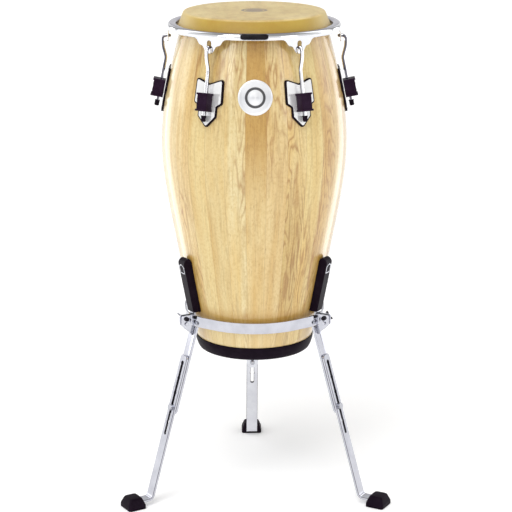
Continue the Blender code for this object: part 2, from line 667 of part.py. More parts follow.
def foot_mesh():
    """A rubber foot with sloping sides and a pocket for the end of the leg."""
    middle = (FOOT_INNER_R + FOOT_OUTER_R) / 2
    half_length = (FOOT_OUTER_R - FOOT_INNER_R) / 2
    shape = bmesh.new()
    rings = []
    for inset, height in ((0.0, 0.0), (0.0, FOOT_WALL), (FOOT_SLOPE, FOOT_HEIGHT)):
        length = half_length - inset
        width = FOOT_HALF_WIDTH - inset
        corner = FOOT_CORNER - inset / 4
        outline = [(-length, -width + corner), (-length + corner, -width), (length - corner, -width),
                   (length, -width + corner), (length, width - corner), (length - corner, width),
                   (-length + corner, width), (-length, width - corner)]
        rings.append([shape.verts.new((middle + x, y, height)) for x, y in outline])
    count = len(rings[0])
    for ring, following in zip(rings, rings[1:]):
        for k in range(count):
            shape.faces.new((ring[k], ring[(k + 1) % count], following[(k + 1) % count], following[k]))
    shape.faces.new(rings[0])
    shape.faces.new(rings[-1])
    block = to_mesh(shape, "foot")
    half = BAR_THICKNESS / 2 + GAP
    pocket = box((FOOT_INNER_R - 0.010, -LEG_HALF_WIDTH - GAP, TOE_Z - half),
                 (TOE_END_R + GAP, LEG_HALF_WIDTH + GAP, TOE_Z + half))
    mesh = combined(block, [pocket], "DIFFERENCE")
    leg = Matrix.Translation((PIVOT_R, 0, PIVOT_Z)) @ Matrix.Rotation(-LEG_TILT, 4, "Y")
    mesh.transform(leg.inverted())
    return mesh


def wing_bolt_mesh():
    """A bolt along Y with a hexagon head at -Y and a pair of wings at +Y."""
    ear_face = EAR_OFFSET + RING_THICKNESS / 2 + GAP
    shank = prism(circle(BOLT_RADIUS, 12), -ear_face - 0.002, ear_face + 0.010, "y")
    head = prism(circle(0.0050, 6), -ear_face - 0.0040, -ear_face, "y")
    hub = prism(circle(0.0044, 10), ear_face, ear_face + 0.0090, "y")
    wing = [(0.0, ear_face + 0.0050), (0.0095, ear_face + 0.0080), (0.0112, ear_face + 0.0150),
            (0.0070, ear_face + 0.0155), (0.0, ear_face + 0.0100)]
    outline = wing + [(-x, y) for x, y in wing[-2:0:-1]]
    wings = prism(outline, -0.0013, 0.0013, "z", Matrix.Rotation(math.radians(50), 4, "Y"))
    return combined(shank, [head, hub, wings], "UNION")


def lock_bolt_mesh():
    """A bolt along X with a hexagon head inside the leg and a round knob outside it."""
    inner = UPPER_BAR_X - BAR_THICKNESS / 2 - GAP
    outer = LOWER_BAR_X + BAR_THICKNESS / 2 + GAP
    shank = prism(circle(BOLT_RADIUS, 12), inner - 0.001, outer + 0.001, "x")
    head = prism(circle(0.0055, 6), inner - 0.0040, inner, "x")
    knob = prism(circle(0.0068, 12), outer, outer + 0.0055, "x")
    return combined(shank, [head, knob], "UNION")


# ---- assembly -------------------------------------------------------------------------------
def finishes():
    return {
        "wood": material("wood", (0.80, 0.62, 0.36), 0.25, 0.0),
        "skin": material("skin", (0.82, 0.71, 0.50), 0.55, 0.0),
        "chrome": material("chrome", (0.86, 0.87, 0.90), 0.08, 1.0),
        "steel": material("steel", (0.62, 0.62, 0.65), 0.30, 1.0),
        "rubber": material("rubber", (0.035, 0.025, 0.035), 0.55, 0.0),
        "badge": material("badge", (0.72, 0.72, 0.75), 0.35, 1.0),
    }


def azimuth_frame(name, azimuth):
    return frame(name, (DRUM_AXIS_X, DRUM_AXIS_Y, 0.0), turn=math.radians(azimuth - 90))


def build_drum(finish):
    axis = frame("drum_axis", (DRUM_AXIS_X, DRUM_AXIS_Y, 0.0))
    place("shell", shell_mesh(), finish["wood"], axis)
    place("bottom_ring", bottom_ring_mesh(), finish["rubber"], axis)
    place("drumhead", drumhead_mesh(), finish["skin"], axis)
    place("flesh_hoop", flesh_hoop_mesh(), finish["steel"], axis)
    place("tension_rim", rim_mesh(), finish["chrome"], axis)
    place("badge", badge_mesh(), finish["badge"], azimuth_frame("badge_azimuth", BADGE_AZIMUTH))


def build_lugs(finish):
    pieces = (("gasket", gasket_mesh(), "rubber"), ("side_plate", side_plate_mesh(), "chrome"),
              ("lug_block", lug_block_mesh(), "rubber"), ("lug_rod", lug_rod_mesh(), "chrome"),
              ("lug_nut", lug_nut_mesh(), "steel"))
    for number, azimuth in enumerate(LUG_AZIMUTHS, start=1):
        side = azimuth_frame(f"lug_azimuth_{number}", azimuth)
        lug = frame(f"lug_frame_{number}", (LUG_R, 0.0, LUG_Z), tilt=LUG_TILT, parent=side)
        for name, mesh, slot in pieces:
            place(f"{name}_{number}", mesh, finish[slot], lug)


def build_stand(finish):
    arc_mesh = ring_arc_mesh()
    upright = upright_mesh()
    pad = pad_mesh()
    wing_bolt = wing_bolt_mesh()
    leg_pieces = (("upper_leg", upper_leg_mesh(), "chrome"), ("lower_leg", lower_leg_mesh(), "chrome"),
                  ("foot", foot_mesh(), "rubber"))
    lock_bolt = lock_bolt_mesh()
    for number, azimuth in enumerate(LEG_AZIMUTHS, start=1):
        side = azimuth_frame(f"bracket_azimuth_{number}", azimuth)
        between = azimuth_frame(f"arc_azimuth_{number}", azimuth + 60)
        place(f"ring_arc_{number}", arc_mesh, finish["chrome"], between)
        place(f"upright_{number}", upright, finish["steel"], side)
        place(f"pad_{number}", pad, finish["rubber"], side)
        clamp = frame(f"wing_bolt_frame_{number}", (PIVOT_R, 0.0, WING_BOLT_Z), parent=side)
        turn = 0.0 if WING_SIDES[number - 1] > 0 else math.pi
        place(f"wing_bolt_{number}", wing_bolt, finish["steel"], clamp, turn)
        leg = frame(f"leg_frame_{number}", (PIVOT_R, 0.0, PIVOT_Z), tilt=LEG_TILT, parent=side)
        for name, mesh, slot in leg_pieces:
            place(f"{name}_{number}", mesh, finish[slot], leg)
        lock = frame(f"lock_bolt_frame_{number}", (0.0, 0.0, LOCK_BOLT_Z), parent=leg)
        place(f"lock_bolt_{number}", lock_bolt, finish["steel"], lock)


def main():
    clear_scene()
    finish = finishes()
    build_drum(finish)
    build_lugs(finish)
    build_stand(finish)


main()
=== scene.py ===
"""Looks for the conga drum on its ring stand: finished meshes, materials, light and camera.

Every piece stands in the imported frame, in metres, and rides on the body that it belongs to.
Azimuths are in degrees from the front (-Y), counted towards +X.
"""
from math import asin, atan2, copysign, cos, degrees, hypot, pi, radians, sin, sqrt, tan, tau

import bmesh
import bpy
from mathutils import Matrix, Vector


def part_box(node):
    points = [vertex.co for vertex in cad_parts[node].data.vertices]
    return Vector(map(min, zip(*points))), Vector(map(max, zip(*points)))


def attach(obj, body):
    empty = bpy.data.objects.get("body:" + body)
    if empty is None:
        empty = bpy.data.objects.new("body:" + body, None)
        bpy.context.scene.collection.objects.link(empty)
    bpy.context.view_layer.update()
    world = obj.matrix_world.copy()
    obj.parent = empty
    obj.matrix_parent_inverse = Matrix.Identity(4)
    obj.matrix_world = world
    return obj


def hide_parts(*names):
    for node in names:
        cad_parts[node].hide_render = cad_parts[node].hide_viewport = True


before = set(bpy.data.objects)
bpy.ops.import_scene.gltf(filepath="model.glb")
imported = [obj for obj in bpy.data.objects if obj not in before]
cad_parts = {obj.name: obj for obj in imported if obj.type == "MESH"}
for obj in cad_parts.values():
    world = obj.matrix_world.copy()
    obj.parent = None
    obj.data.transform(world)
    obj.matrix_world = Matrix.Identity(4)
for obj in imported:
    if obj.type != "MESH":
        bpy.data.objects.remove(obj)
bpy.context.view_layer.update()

# ---- sizes, taken from the frame where it gives them ------------------------------------------
SHELL_LOW, SHELL_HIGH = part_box("shell")
AXIS_X = (SHELL_LOW.x + SHELL_HIGH.x) / 2
AXIS_Y = (SHELL_LOW.y + SHELL_HIGH.y) / 2
AXIS = Matrix.Translation((AXIS_X, AXIS_Y, 0.0))
GAP = 0.0003
CHAMFER = 0.0006
SMOOTH_ANGLE = radians(40)
BEVEL_ANGLE = radians(38)
LUG_AZIMUTHS = (-30, 30, 90, 150, -150, -90)
STAND_TURN = 1.3
LEG_AZIMUTHS = (-60 + STAND_TURN, 60 + STAND_TURN, 180 + STAND_TURN)
REAR_LEG = 3
WING_SIDES = (-1, 1, 1)
STAVES = 28
STAVE_PHASE = 0.42
# The staves that face the front: number, the heights over which the colour comes in, the colour.
FRONT_STAVES = ((18, 0.2, 0.3, (223, 201, 140)), (19, 0.2, 0.3, (218, 196, 138)),
                (20, 0.2, 0.3, (224, 207, 156)), (21, 0.2, 0.3, (221, 197, 139)),
                (21, 0.62, 0.84, (192, 154, 80)), (22, 0.2, 0.3, (221, 197, 141)),
                (23, 0.2, 0.3, (208, 180, 114)), (23, 0.6, 0.75, (225, 203, 144)),
                (24, 0.2, 0.3, (228, 206, 142)))

SHELL_STATIONS = ((0.3492, 0.1268), (0.5286, 0.1622), (0.6888, 0.1904), (0.778, 0.1968),
                  (0.87, 0.1886), (0.96, 0.1692), (1.04, 0.1481))
SHELL_WALL = 0.011
BEARING_R = 0.1432
BEARING_ROUND = 0.003
SHELL_TOP = SHELL_HIGH.z
FOOT_RING_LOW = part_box("bottom_ring")[0].z
FOOT_RING_R = 0.1196

HEAD_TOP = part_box("drumhead")[1].z
HEAD_SKIN = 0.0024
HOOP_R = 0.1675
HOOP_Z = 1.018
HOOP_SECTION_R = 0.003
PRINT_RADIUS = 0.028

RIM_OUTER_R = 0.1824
RIM_INNER_R = 0.164
RIM_SHEET = 0.0025
RIM_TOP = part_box("tension_rim")[1].z
RIM_BAND_LOW = 1.0145
RIM_ROLL_R = 0.1745
RIM_ROLL_Z = 1.0203
EAR_EDGE = ((0.0, 0.985), (0.0035, 0.9852), (0.007, 0.9866), (0.01, 0.9895), (0.013, 0.995),
            (0.0155, 0.9992), (0.019, 1.0006), (0.024, 1.002), (0.0275, 1.006), (0.0305, 1.011),
            (0.035, 1.0138), (0.04, RIM_BAND_LOW))
SLOT_HALF_WIDTH = 0.005
SLOT_LOW = 0.9939
SLOT_TOP = 1.012

LUG_R = 0.1994
LUG_Z = 0.8885
LUG_TILT = radians(11.5)
ROD_RADIUS = 0.0038
ROD_TAIL = 0.0375
ROD_BEND = 0.064
HOOK_Z = 0.998
HOOK_TIP_R = 0.1745
HOOK_BEND_R = 0.0075
PLATE_FRONT = -0.0099
PLATE_THICKNESS = 0.0015
PLATE_CORNER = 0.0035
GASKET_MARGIN = 0.003
ARM_HALF_WIDTH = 0.008
ARM_HALF_HEIGHT = 0.0025
ARM_REACH = 0.0075
BLOCK_HALF_WIDTH = 0.0112
BLOCK_HALF_HEIGHT = 0.018
BLOCK_DEPTH = 0.0245
BLOCK_LIP = 0.0018
NUT_RADIUS = 0.0069
NUT_HEIGHT = 0.008

BADGE_AZIMUTH = 0.6
BADGE_RADIUS = 0.0352
BADGE_Z = 0.8997
BADGE_THICKNESS = 0.0012
LABEL_Z = 1.0227

RING_R = 0.15
BRACKET_RING_R = 0.15775
RING_THICKNESS = 0.0035
RING_LOW = 0.389
RING_TOP = 0.4118
FLARE_ANGLE = radians(25)
EAR_OFFSET = 0.00485
EAR_TIP_R = 0.183
EAR_BEND_R = 0.004
PIVOT_R = 0.173
PIVOT_Z = 0.3935
PIVOT_PIN_RADIUS = 0.0025
WING_BOLT_Z = 0.4045
PIN_HEAD_RADIUS = 0.004
BOLT_RADIUS = 0.003
BOLT_HEAD_HEIGHT = 0.004
WING_HEAD_RADIUS = 0.005
WING_HUB_RADIUS = 0.0044
WING_HALF_THICKNESS = 0.0013
WING_TURN = 50
LOCK_HEAD_RADIUS = 0.0055
KNOB_RADIUS = 0.0066
KNOB_HEIGHT = 0.0055
KNOB_FLUTE = 0.0002
KNOB_FLUTES = 16
HOLE_RADIUS = 0.0033

BAR_THICKNESS = 0.005
UPRIGHT_HALF_WIDTH = 0.009
UPRIGHT_R = 0.1532
UPRIGHT_LOW = 0.3985
UPRIGHT_BEND_Z = 0.413
UPRIGHT_TOP = 0.524
SADDLE_THICKNESS = 0.003
SADDLE_LOW = 0.3895
SADDLE_TOP = 0.409
SADDLE_ANGLE = 10.0
SADDLE_GAP = 0.0006
SADDLE_NOTCH_HALF = 0.014
RIVET_ANGLE = 7.9
RIVET_Z = 0.3966
RIVET_RADIUS = 0.002
RIVET_HEAD_RADIUS = 0.0042
RIVET_HEAD_HEIGHT = 0.0016
RIVET_SEAT = 0.0008
PAD_TILT = radians(10.5)
PAD_HALF_WIDTH = 0.012
PAD_LOW = 0.418
PAD_TOP = 0.538
PAD_OUTER_R = 0.159
PAD_CORNER = 0.011
PAD_INNER_TOP_R = 0.1646
PAD_INNER_CORNER = 0.006

LEG_TILT = radians(16.4)
UPPER_BAR_X = -0.0251
LOWER_BAR_X = -0.0198
UPPER_BAR_TOP = -0.002
UPPER_BAR_LOW = -0.201
LEG_HALF_WIDTH = 0.013
LOWER_BAR_TOP = -0.069
TONGUE_HALF = 0.0028
LOCK_BOLT_Z = -0.186
NOTCH_PITCH = 0.0331
NOTCHES_ABOVE = 3
NOTCHES_BELOW = 1
NOTCH_RADIUS = 0.0047
LEG_SLOT_HALF_WIDTH = 0.0036
LEG_SLOT_LOW = -0.247
FOOT_INNER_R = 0.285
FOOT_OUTER_R = 0.3262
FOOT_HALF_WIDTH = 0.0232
FOOT_HEIGHT = 0.0245
GROOVE_PITCH = 0.0066
TOE_Z = 0.0128
TOE_BEND_R = 0.011
TOE_END_R = 0.318

CAMERA_DISTANCE = 3.8636
CAMERA_HEIGHT = 1.588
CAMERA_PITCH = 15.48
CAMERA_LENS = 130.13
CAMERA_SHIFT = 0.0033
FLOOR_SIZE = 40.0
FLOOR_DROP = 0.0005
FLOOR_GLOW = 0.2
SUN_STRENGTH = 1.36
KEY_POWER = 26.0
FILL_POWER = 18.0
WORLD_STRENGTH = 0.75
SCREEN_DARKNESS = 0.55
PANEL_STRENGTH = 1.6
STRIP_ASIDE = 0.76
STRIP_BEHIND = 0.57
STRIP_POWER = 1.8


# ---- shader tools ------------------------------------------------------------------------------
def srgb(red, green, blue):
    """A linear colour from 0-255 sRGB numbers."""
    def linear(value):
        value /= 255
        return value / 12.92 if value <= 0.04045 else ((value + 0.055) / 1.055) ** 2.4
    return (linear(red), linear(green), linear(blue), 1.0)


WHITE = (1.0, 1.0, 1.0, 1.0)


class Shader:
    """Short ways to add and join the nodes of a material or a world."""

    def __init__(self, owner, surface):
        owner.use_nodes = True
        self.owner = owner
        self.tree = owner.node_tree
        self.surface = self.tree.nodes[surface]

    def node(self, kind, inputs=None, **settings):
        made = self.tree.nodes.new("ShaderNode" + kind)
        for key, value in settings.items():
            setattr(made, key, value)
        self.feed(made, inputs or {})
        return made

    def feed(self, node, inputs):
        for key, value in inputs.items():
            if isinstance(value, bpy.types.NodeSocket):
                self.tree.links.new(value, node.inputs[key])
            else:
                node.inputs[key].default_value = value

    def set(self, **inputs):
        """Inputs of the surface, with spaces written as underscores."""
        self.feed(self.surface, {key.replace("_", " "): value for key, value in inputs.items()})

    def math(self, operation, first, second=0.0, third=0.0):
        inputs = {0: first, 1: second, 2: third}
        return self.node("Math", inputs, operation=operation).outputs[0]

    def times(self, first, second):
        return self.math("MULTIPLY", first, second)

    def minus(self, first, second):
        return self.math("SUBTRACT", first, second)

    def size(self, value):
        return self.math("ABSOLUTE", value)

    def scaled(self, value, factor, extra):
        return self.math("MULTIPLY_ADD", value, factor, extra)

    def length(self, first, second):
        """The distance from the middle, given two offsets at right angles."""
        square = self.scaled(first, first, self.times(second, second))
        return self.math("POWER", square, 0.5)

    def place(self):
        """The point in the piece's own metres."""
        return self.node("TexCoord").outputs["Object"]

    def split(self, vector):
        return self.node("SeparateXYZ", {0: vector}).outputs

    def join(self, x=0.0, y=0.0, z=0.0):
        return self.node("CombineXYZ", {0: x, 1: y, 2: z}).outputs[0]

    def stretch(self, vector, scale):
        return self.node("Mapping", {"Vector": vector, "Scale": scale}).outputs[0]

    def noise(self, vector, scale, detail=3.0, roughness=0.55):
        inputs = {"Vector": vector, "Scale": scale, "Detail": detail, "Roughness": roughness}
        return self.node("TexNoise", inputs).outputs["Fac"]

    def ramp(self, factor, *stops):
        """Map a factor through (position, colour or grey) stops."""
        made = self.node("ValToRGB", {"Fac": factor})
        elements = made.color_ramp.elements
        while len(elements) < len(stops):
            elements.new(0.5)
        for element, (position, colour) in zip(elements, stops):
            element.position = position
            element.color = colour if isinstance(colour, tuple) else (colour, colour, colour, 1.0)
        return made.outputs["Color"]

    def mix(self, factor, first, second, blend="MIX"):
        made = self.node("Mix", data_type="RGBA", blend_type=blend)
        self.feed(made, {0: factor, 6: first, 7: second})
        return made.outputs[2]

    def tint(self, share, colour, other):
        """Darken a colour by another one, as far as the share goes."""
        return self.mix(share, colour, other, "MULTIPLY")

    def step(self, value, low, high, first=0.0, last=1.0):
        """The first value up to low, the last one from high, and smooth between."""
        inputs = {0: value, 1: low, 2: high, 3: first, 4: last}
        return self.node("MapRange", inputs, interpolation_type="SMOOTHSTEP").outputs[0]

    def dice(self, number):
        """A tone between 0 and 1 for each whole number."""
        return self.node("TexWhiteNoise", {"W": number}, noise_dimensions="1D").outputs["Value"]

    def bump(self, height, distance, strength=1.0):
        made = self.node("Bump", {"Height": height, "Distance": distance, "Strength": strength})
        self.set(Normal=made.outputs[0])


def material_shader(name):
    return Shader(bpy.data.materials.new(name), "Principled BSDF")


# ---- materials ---------------------------------------------------------------------------------
def wood_material():
    """Pale staves under clear lacquer, each with its own tone and grain."""
    shader = material_shader("lacquered_staves")
    x, y, z = shader.split(shader.place())
    angle = shader.math("ARCTAN2", y, x)
    turns = shader.scaled(angle, STAVES / tau, STAVES + STAVE_PHASE)
    stave = shader.math("FLOOR", turns)
    across = shader.minus(turns, stave)
    tone = shader.dice(stave)
    other = shader.dice(shader.math("ADD", stave, 40.5))
    around = shader.scaled(angle, 0.18, shader.times(tone, 9.0))
    lean = shader.scaled(shader.minus(other, 0.5), shader.times(z, 0.02), around)

    def grain(stretch, scale, detail, roughness=0.55, spread=1.0):
        """Noise drawn out along each stave."""
        place = shader.join(lean, shader.times(other, spread), shader.times(z, stretch))
        return shader.noise(place, scale, detail, roughness)
    figure = grain(0.1, 26.0, 2.0, spread=5.0)
    fibre = grain(0.025, 1500.0, 2.0)
    swirl = shader.join(shader.scaled(figure, 0.03, lean), other, shader.times(z, 0.045))
    drift = shader.noise(shader.join(shader.times(other, 9.0), tone, z), 1.7, 1.0)
    pale = shader.mix(tone, srgb(224, 200, 138), srgb(234, 215, 160))
    warm = shader.mix(tone, srgb(208, 174, 104), srgb(222, 194, 134))
    colour = shader.mix(shader.step(shader.scaled(drift, 1.4, other), 0.7, 1.7), pale, warm)
    for number, low, high, shade in FRONT_STAVES:
        match = shader.math("COMPARE", stave, number, 0.4)
        colour = shader.mix(shader.times(match, shader.step(z, low, high)), colour, srgb(*shade))
    contour = shader.math("FRACT", shader.times(grain(0.16, 22.0, 2.5, 0.5, 7.0), 17.0))
    patchy = shader.times(shader.step(grain(0.2, 12.0, 1.0), 0.42, 0.6), 0.72)
    dark = srgb(190, 150, 92)
    # Share of each mark, what it follows, and its tones: growth rings, broad figure, fibre, mottle,
    # pores and contour lines.
    marks = (
        (0.42, shader.noise(swirl, 190.0, 4.0, 0.62),
         ((0.36, srgb(212, 194, 162)), (0.5, WHITE), (0.68, srgb(242, 232, 212)))),
        (0.85, figure, ((0.32, srgb(240, 220, 178)), (0.55, WHITE), (0.72, srgb(248, 230, 190)))),
        (0.3, fibre, ((0.3, 0.7), (0.62, 1.0))),
        (0.42, grain(0.7, 210.0, 3.0, 0.7), ((0.36, srgb(226, 208, 172)), (0.54, WHITE))),
        (0.6, grain(0.085, 900.0, 1.0), ((0.24, srgb(184, 142, 88)), (0.33, WHITE))),
        (patchy, contour, ((0.0, dark), (0.34, WHITE), (0.78, WHITE), (1.0, dark))))
    for share, factor, stops in marks:
        colour = shader.tint(share, colour, shader.ramp(factor, *stops))
    # Painted shade: a deeper amber band on the shell just above the stand's band.
    low = shader.times(shader.step(z, RING_TOP + 0.034, RING_TOP), shader.step(z, RING_LOW, RING_TOP))
    colour = shader.mix(shader.times(low, 0.6), colour, srgb(180, 134, 42))
    # Painted shade: a deeper amber on the wood beside each pad, standing in for the pad's shade and dark
    # reflection.
    for azimuth in LEG_AZIMUTHS:
        apart = shader.size(shader.minus(angle, radians(azimuth - 90)))
        painted_shade_beside_pad = shader.times(shader.step(apart, 0.138, 0.092), shader.step(z, 0.553, 0.538))
        colour = shader.mix(shader.times(painted_shade_beside_pad, 0.62), colour, srgb(188, 142, 48))
    # Painted light: the shell below the top of the stand's band is made lighter.
    foot = shader.step(z, RING_TOP, RING_LOW)
    colour = shader.mix(shader.times(foot, 0.32), colour, srgb(246, 224, 170))
    edge = shader.math("MINIMUM", across, shader.minus(1.0, across))
    seam = shader.step(edge, 0.004, 0.014)
    colour = shader.mix(shader.scaled(seam, -0.45, 0.45), colour, srgb(150, 108, 62))
    shader.set(Base_Color=colour, Roughness=shader.scaled(fibre, 0.16, 0.3), IOR=1.5, Coat_Weight=0.9,
               Coat_Roughness=0.12, Coat_IOR=1.5)
    shader.bump(shader.scaled(fibre, 0.4, seam), 0.00012, 0.35)
    return shader.owner


def hide_material():
    """Natural hide: cloudy, faintly veined, amber down its stretched side painted as shade and reflection
    of the wood, and a plain ink mark.
    """
    shader = material_shader("hide")
    place = shader.place()
    x, y, z = shader.split(place)
    radius = shader.length(x, y)
    cloud = shader.noise(place, 11.0, 4.0, 0.6)
    vein = shader.noise(shader.stretch(place, (1.0, 0.45, 1.0)), 46.0, 5.0, 0.68)
    pore = shader.noise(place, 900.0, 2.0)
    top = shader.ramp(cloud, (0.3, srgb(212, 185, 121)), (0.5, srgb(225, 201, 138)),
                      (0.7, srgb(233, 211, 151)))
    top = shader.tint(0.4, top, shader.ramp(vein, (0.34, srgb(208, 180, 130)), (0.56, WHITE)))
    # Painted shade and reflection: the stretched side is a darker amber, standing in for the wood's
    # reflection and shade there.
    side = shader.ramp(cloud, (0.3, srgb(174, 138, 42)), (0.7, srgb(192, 160, 62)))
    # Painted sheen: the side turns lighter towards its left and right edges.
    painted_edge_sheen = shader.step(shader.size(x), 0.105, 0.17)
    side = shader.mix(shader.times(painted_edge_sheen, 0.7), side, srgb(226, 204, 142))
    flat = shader.step(z, HEAD_TOP - 0.005, HEAD_TOP - 0.0006)
    colour = shader.mix(flat, side, top)
    band = shader.step(z, HOOP_Z, HOOP_Z + 0.014)
    colour = shader.mix(shader.scaled(band, -0.35, 0.35), colour, srgb(150, 112, 50))
    colour = shader.tint(0.25, colour, shader.ramp(pore, (0.3, 0.75), (0.6, 1.0)))
    worn = shader.noise(place, 260.0, 3.0, 0.7)
    disc = shader.minus(1.0, shader.step(radius, PRINT_RADIUS - 0.0006, PRINT_RADIUS))
    ring = shader.size(shader.minus(radius, PRINT_RADIUS * 0.72))
    bare = shader.step(ring, 0.0006, 0.0012)
    ink = shader.times(shader.times(disc, bare), shader.scaled(worn, 0.45, 0.62))
    ink = shader.times(ink, flat)
    colour = shader.mix(ink, colour, srgb(140, 122, 108))
    rough = shader.scaled(vein, 0.2, 0.42)
    shader.set(Base_Color=colour, Roughness=rough, Subsurface_Weight=0.06, Subsurface_Scale=0.003,
               Coat_Weight=0.3, Coat_Roughness=0.35)
    shader.bump(shader.scaled(pore, 0.4, vein), 0.00025, 0.3)
    return shader.owner


def chrome_material(name, dim, bright, metallic=1.0):
    """Polished plate, with the faintest cloudiness and polish lines."""
    shader = material_shader(name)
    place = shader.place()
    haze = shader.noise(place, 34.0, 3.0)
    polish = shader.noise(shader.stretch(place, (1.0, 1.0, 0.08)), 900.0, 2.0)
    colour = shader.ramp(haze, (0.3, srgb(*dim)), (0.7, srgb(*bright)))
    rough = shader.scaled(haze, 0.07, shader.scaled(polish, 0.04, 0.045))
    shader.set(Base_Color=colour, Metallic=metallic, Roughness=rough)
    shader.bump(haze, 0.0002, 0.15)
    return shader.owner


def steel_material():
    """Zinc plate: greyer than the chrome, with a faint crystal mottle."""
    shader = material_shader("zinc_steel")
    place = shader.place()
    crystal = shader.node("TexVoronoi", {"Vector": place, "Scale": 420.0}).outputs["Distance"]
    grime = shader.noise(place, 90.0, 4.0)
    colour = shader.mix(shader.times(crystal, 0.5), srgb(196, 197, 204), srgb(160, 161, 168))
    colour = shader.tint(0.5, colour, shader.ramp(grime, (0.3, 0.72), (0.6, 1.0)))
    rough = shader.scaled(grime, 0.2, 0.16)
    shader.set(Base_Color=colour, Metallic=1.0, Roughness=rough)
    shader.bump(crystal, 0.00005, 0.4)
    return shader.owner


def black_material(name, colour, roughness, grain, depth):
    """Moulded rubber or plastic with a fine pebble, and duller scuffs."""
    shader = material_shader(name)
    place = shader.place()
    pebble = shader.noise(place, grain, 3.0)
    scuff = shader.noise(place, 55.0, 5.0, 0.7)
    worn = shader.ramp(scuff, (0.45, srgb(*colour)), (0.8, srgb(*[value + 14 for value in colour])))
    rough = shader.scaled(scuff, 0.22, roughness - 0.11)
    shader.set(Base_Color=worn, Roughness=rough, IOR=1.35, Specular_IOR_Level=0.12)
    shader.bump(pebble, depth, 0.5)
    return shader.owner


def badge_material():
    """Brushed disc: fine scratches run round its middle."""
    shader = material_shader("brushed_badge")
    x, y, z = shader.split(shader.place())
    up = shader.minus(z, BADGE_Z)
    radius = shader.length(x, up)
    angle = shader.math("ARCTAN2", up, x)
    scratch = shader.noise(shader.join(radius, shader.times(angle, 0.0006)), 4200.0, 3.0)
    # Painted sheen: the disc is lighter above and below its middle and darker to each side.
    painted_sheen_sweep = shader.size(shader.math("SINE", angle))
    colour = shader.mix(painted_sheen_sweep, srgb(222, 223, 227), srgb(250, 250, 252))
    colour = shader.tint(0.3, colour, shader.ramp(scratch, (0.3, 0.72), (0.65, 1.0)))
    inner = shader.size(shader.minus(radius, BADGE_RADIUS * 0.52))
    groove = shader.step(inner, 0.0024, 0.0028)
    colour = shader.mix(shader.scaled(groove, -0.9, 0.9), colour, srgb(34, 32, 36))
    shader.set(Base_Color=colour, Metallic=0.7, Roughness=shader.scaled(scratch, 0.2, 0.26))
    shader.bump(shader.scaled(scratch, 0.2, groove), 0.00008, 0.5)
    return shader.owner


# ---- mesh tools --------------------------------------------------------------------------------
def turned(degree, axis="Z"):
    return Matrix.Rotation(radians(degree), 4, axis)


def add_object(name, data):
    """A new object in the scene."""
    thing = bpy.data.objects.new(name, data)
    bpy.context.scene.collection.objects.link(thing)
    return thing


def to_mesh(shape):
    bmesh.ops.recalc_face_normals(shape, faces=shape.faces)
    mesh = bpy.data.meshes.new("piece")
    shape.to_mesh(mesh)
    shape.free()
    return mesh


def combined(mesh, others, operation):
    """The mesh after one boolean with each of the others."""
    body = add_object("body", mesh)
    tools = [add_object("tool", other) for other in others]
    for tool in tools:
        step = body.modifiers.new("Boolean", "BOOLEAN")
        step.operation = operation
        step.object = tool
    evaluated = body.evaluated_get(bpy.context.evaluated_depsgraph_get())
    result = bpy.data.meshes.new_from_object(evaluated)
    for item in (body, *tools):
        bpy.data.objects.remove(item, do_unlink=True)
    return result


def joined(mesh, *others):
    return combined(mesh, others, "UNION")


def carved(mesh, *others):
    return combined(mesh, others, "DIFFERENCE")


def bridged(rings, round_trip=False):
    """One closed surface through rings of points: back to the first ring, or closed at both ends."""
    shape = bmesh.new()
    rings = [[shape.verts.new(point) for point in ring] for ring in rings]
    count = len(rings[0])
    for ring, following in zip(rings, rings[1:] + (rings[:1] if round_trip else [])):
        for k in range(count):
            after = (k + 1) % count
            shape.faces.new((ring[k], ring[after], following[after], following[k]))
    if not round_trip:
        shape.faces.new(rings[0])
        shape.faces.new(rings[-1])
    return to_mesh(shape)


def lathe(outline, segments=160):
    """Turn a closed (radius, height) outline about Z."""
    shape = bmesh.new()
    points = [shape.verts.new((radius, 0.0, height)) for radius, height in outline]
    edges = [shape.edges.new((a, b)) for a, b in zip(points, points[1:] + points[:1])
             if a.co.x > 0 or b.co.x > 0]
    bmesh.ops.spin(shape, geom=points + edges, cent=(0, 0, 0), axis=(0, 0, 1),
                   angle=tau, steps=segments, use_merge=True)
    bmesh.ops.remove_doubles(shape, verts=shape.verts, dist=1e-6)
    return to_mesh(shape)


def prism(outline, low, high, across="z", matrix=None):
    """Extrude a closed outline from low to high along one axis."""
    first, second, third = {"x": (1, 2, 0), "y": (0, 2, 1), "z": (0, 1, 2)}[across]
    shape = bmesh.new()
    ring = []
    for point in outline:
        corner = [0.0, 0.0, 0.0]
        corner[first], corner[second] = point
        corner[third] = low
        ring.append(shape.verts.new(corner))
    cap = shape.faces.new(ring)
    grown = bmesh.ops.extrude_face_region(shape, geom=[cap])
    step = Vector((0, 0, 0))
    step[third] = high - low
    moved = [item for item in grown["geom"] if isinstance(item, bmesh.types.BMVert)]
    bmesh.ops.translate(shape, verts=moved, vec=step)
    if matrix is not None:
        shape.transform(matrix)
    return to_mesh(shape)


def polar(radius, angle):
    return (radius * cos(angle), radius * sin(angle))


def arc(centre, radius, begin, end, steps):
    """Points on an arc, with its angles in degrees."""
    return [(centre[0] + radius * cos(radians(begin + (end - begin) * k / steps)),
             centre[1] + radius * sin(radians(begin + (end - begin) * k / steps)))
            for k in range(steps + 1)]


def circle(radius, sides, centre=(0.0, 0.0)):
    return arc(centre, radius, 0, 360, sides)[:-1]


def disc(radius, low, high, across="z", sides=24, centre=(0.0, 0.0), matrix=None):
    """A round or many-sided solid from low to high along one axis."""
    return prism(circle(radius, sides, centre), low, high, across, matrix)


def mirrored(right):
    """A closed outline from its right half, which begins and ends on the middle line."""
    return right + [(-x, y) for x, y in right[-2:0:-1]]


def box(low, high):
    outline = [(low[0], low[1]), (high[0], low[1]), (high[0], high[1]), (low[0], high[1])]
    return prism(outline, low[2], high[2])


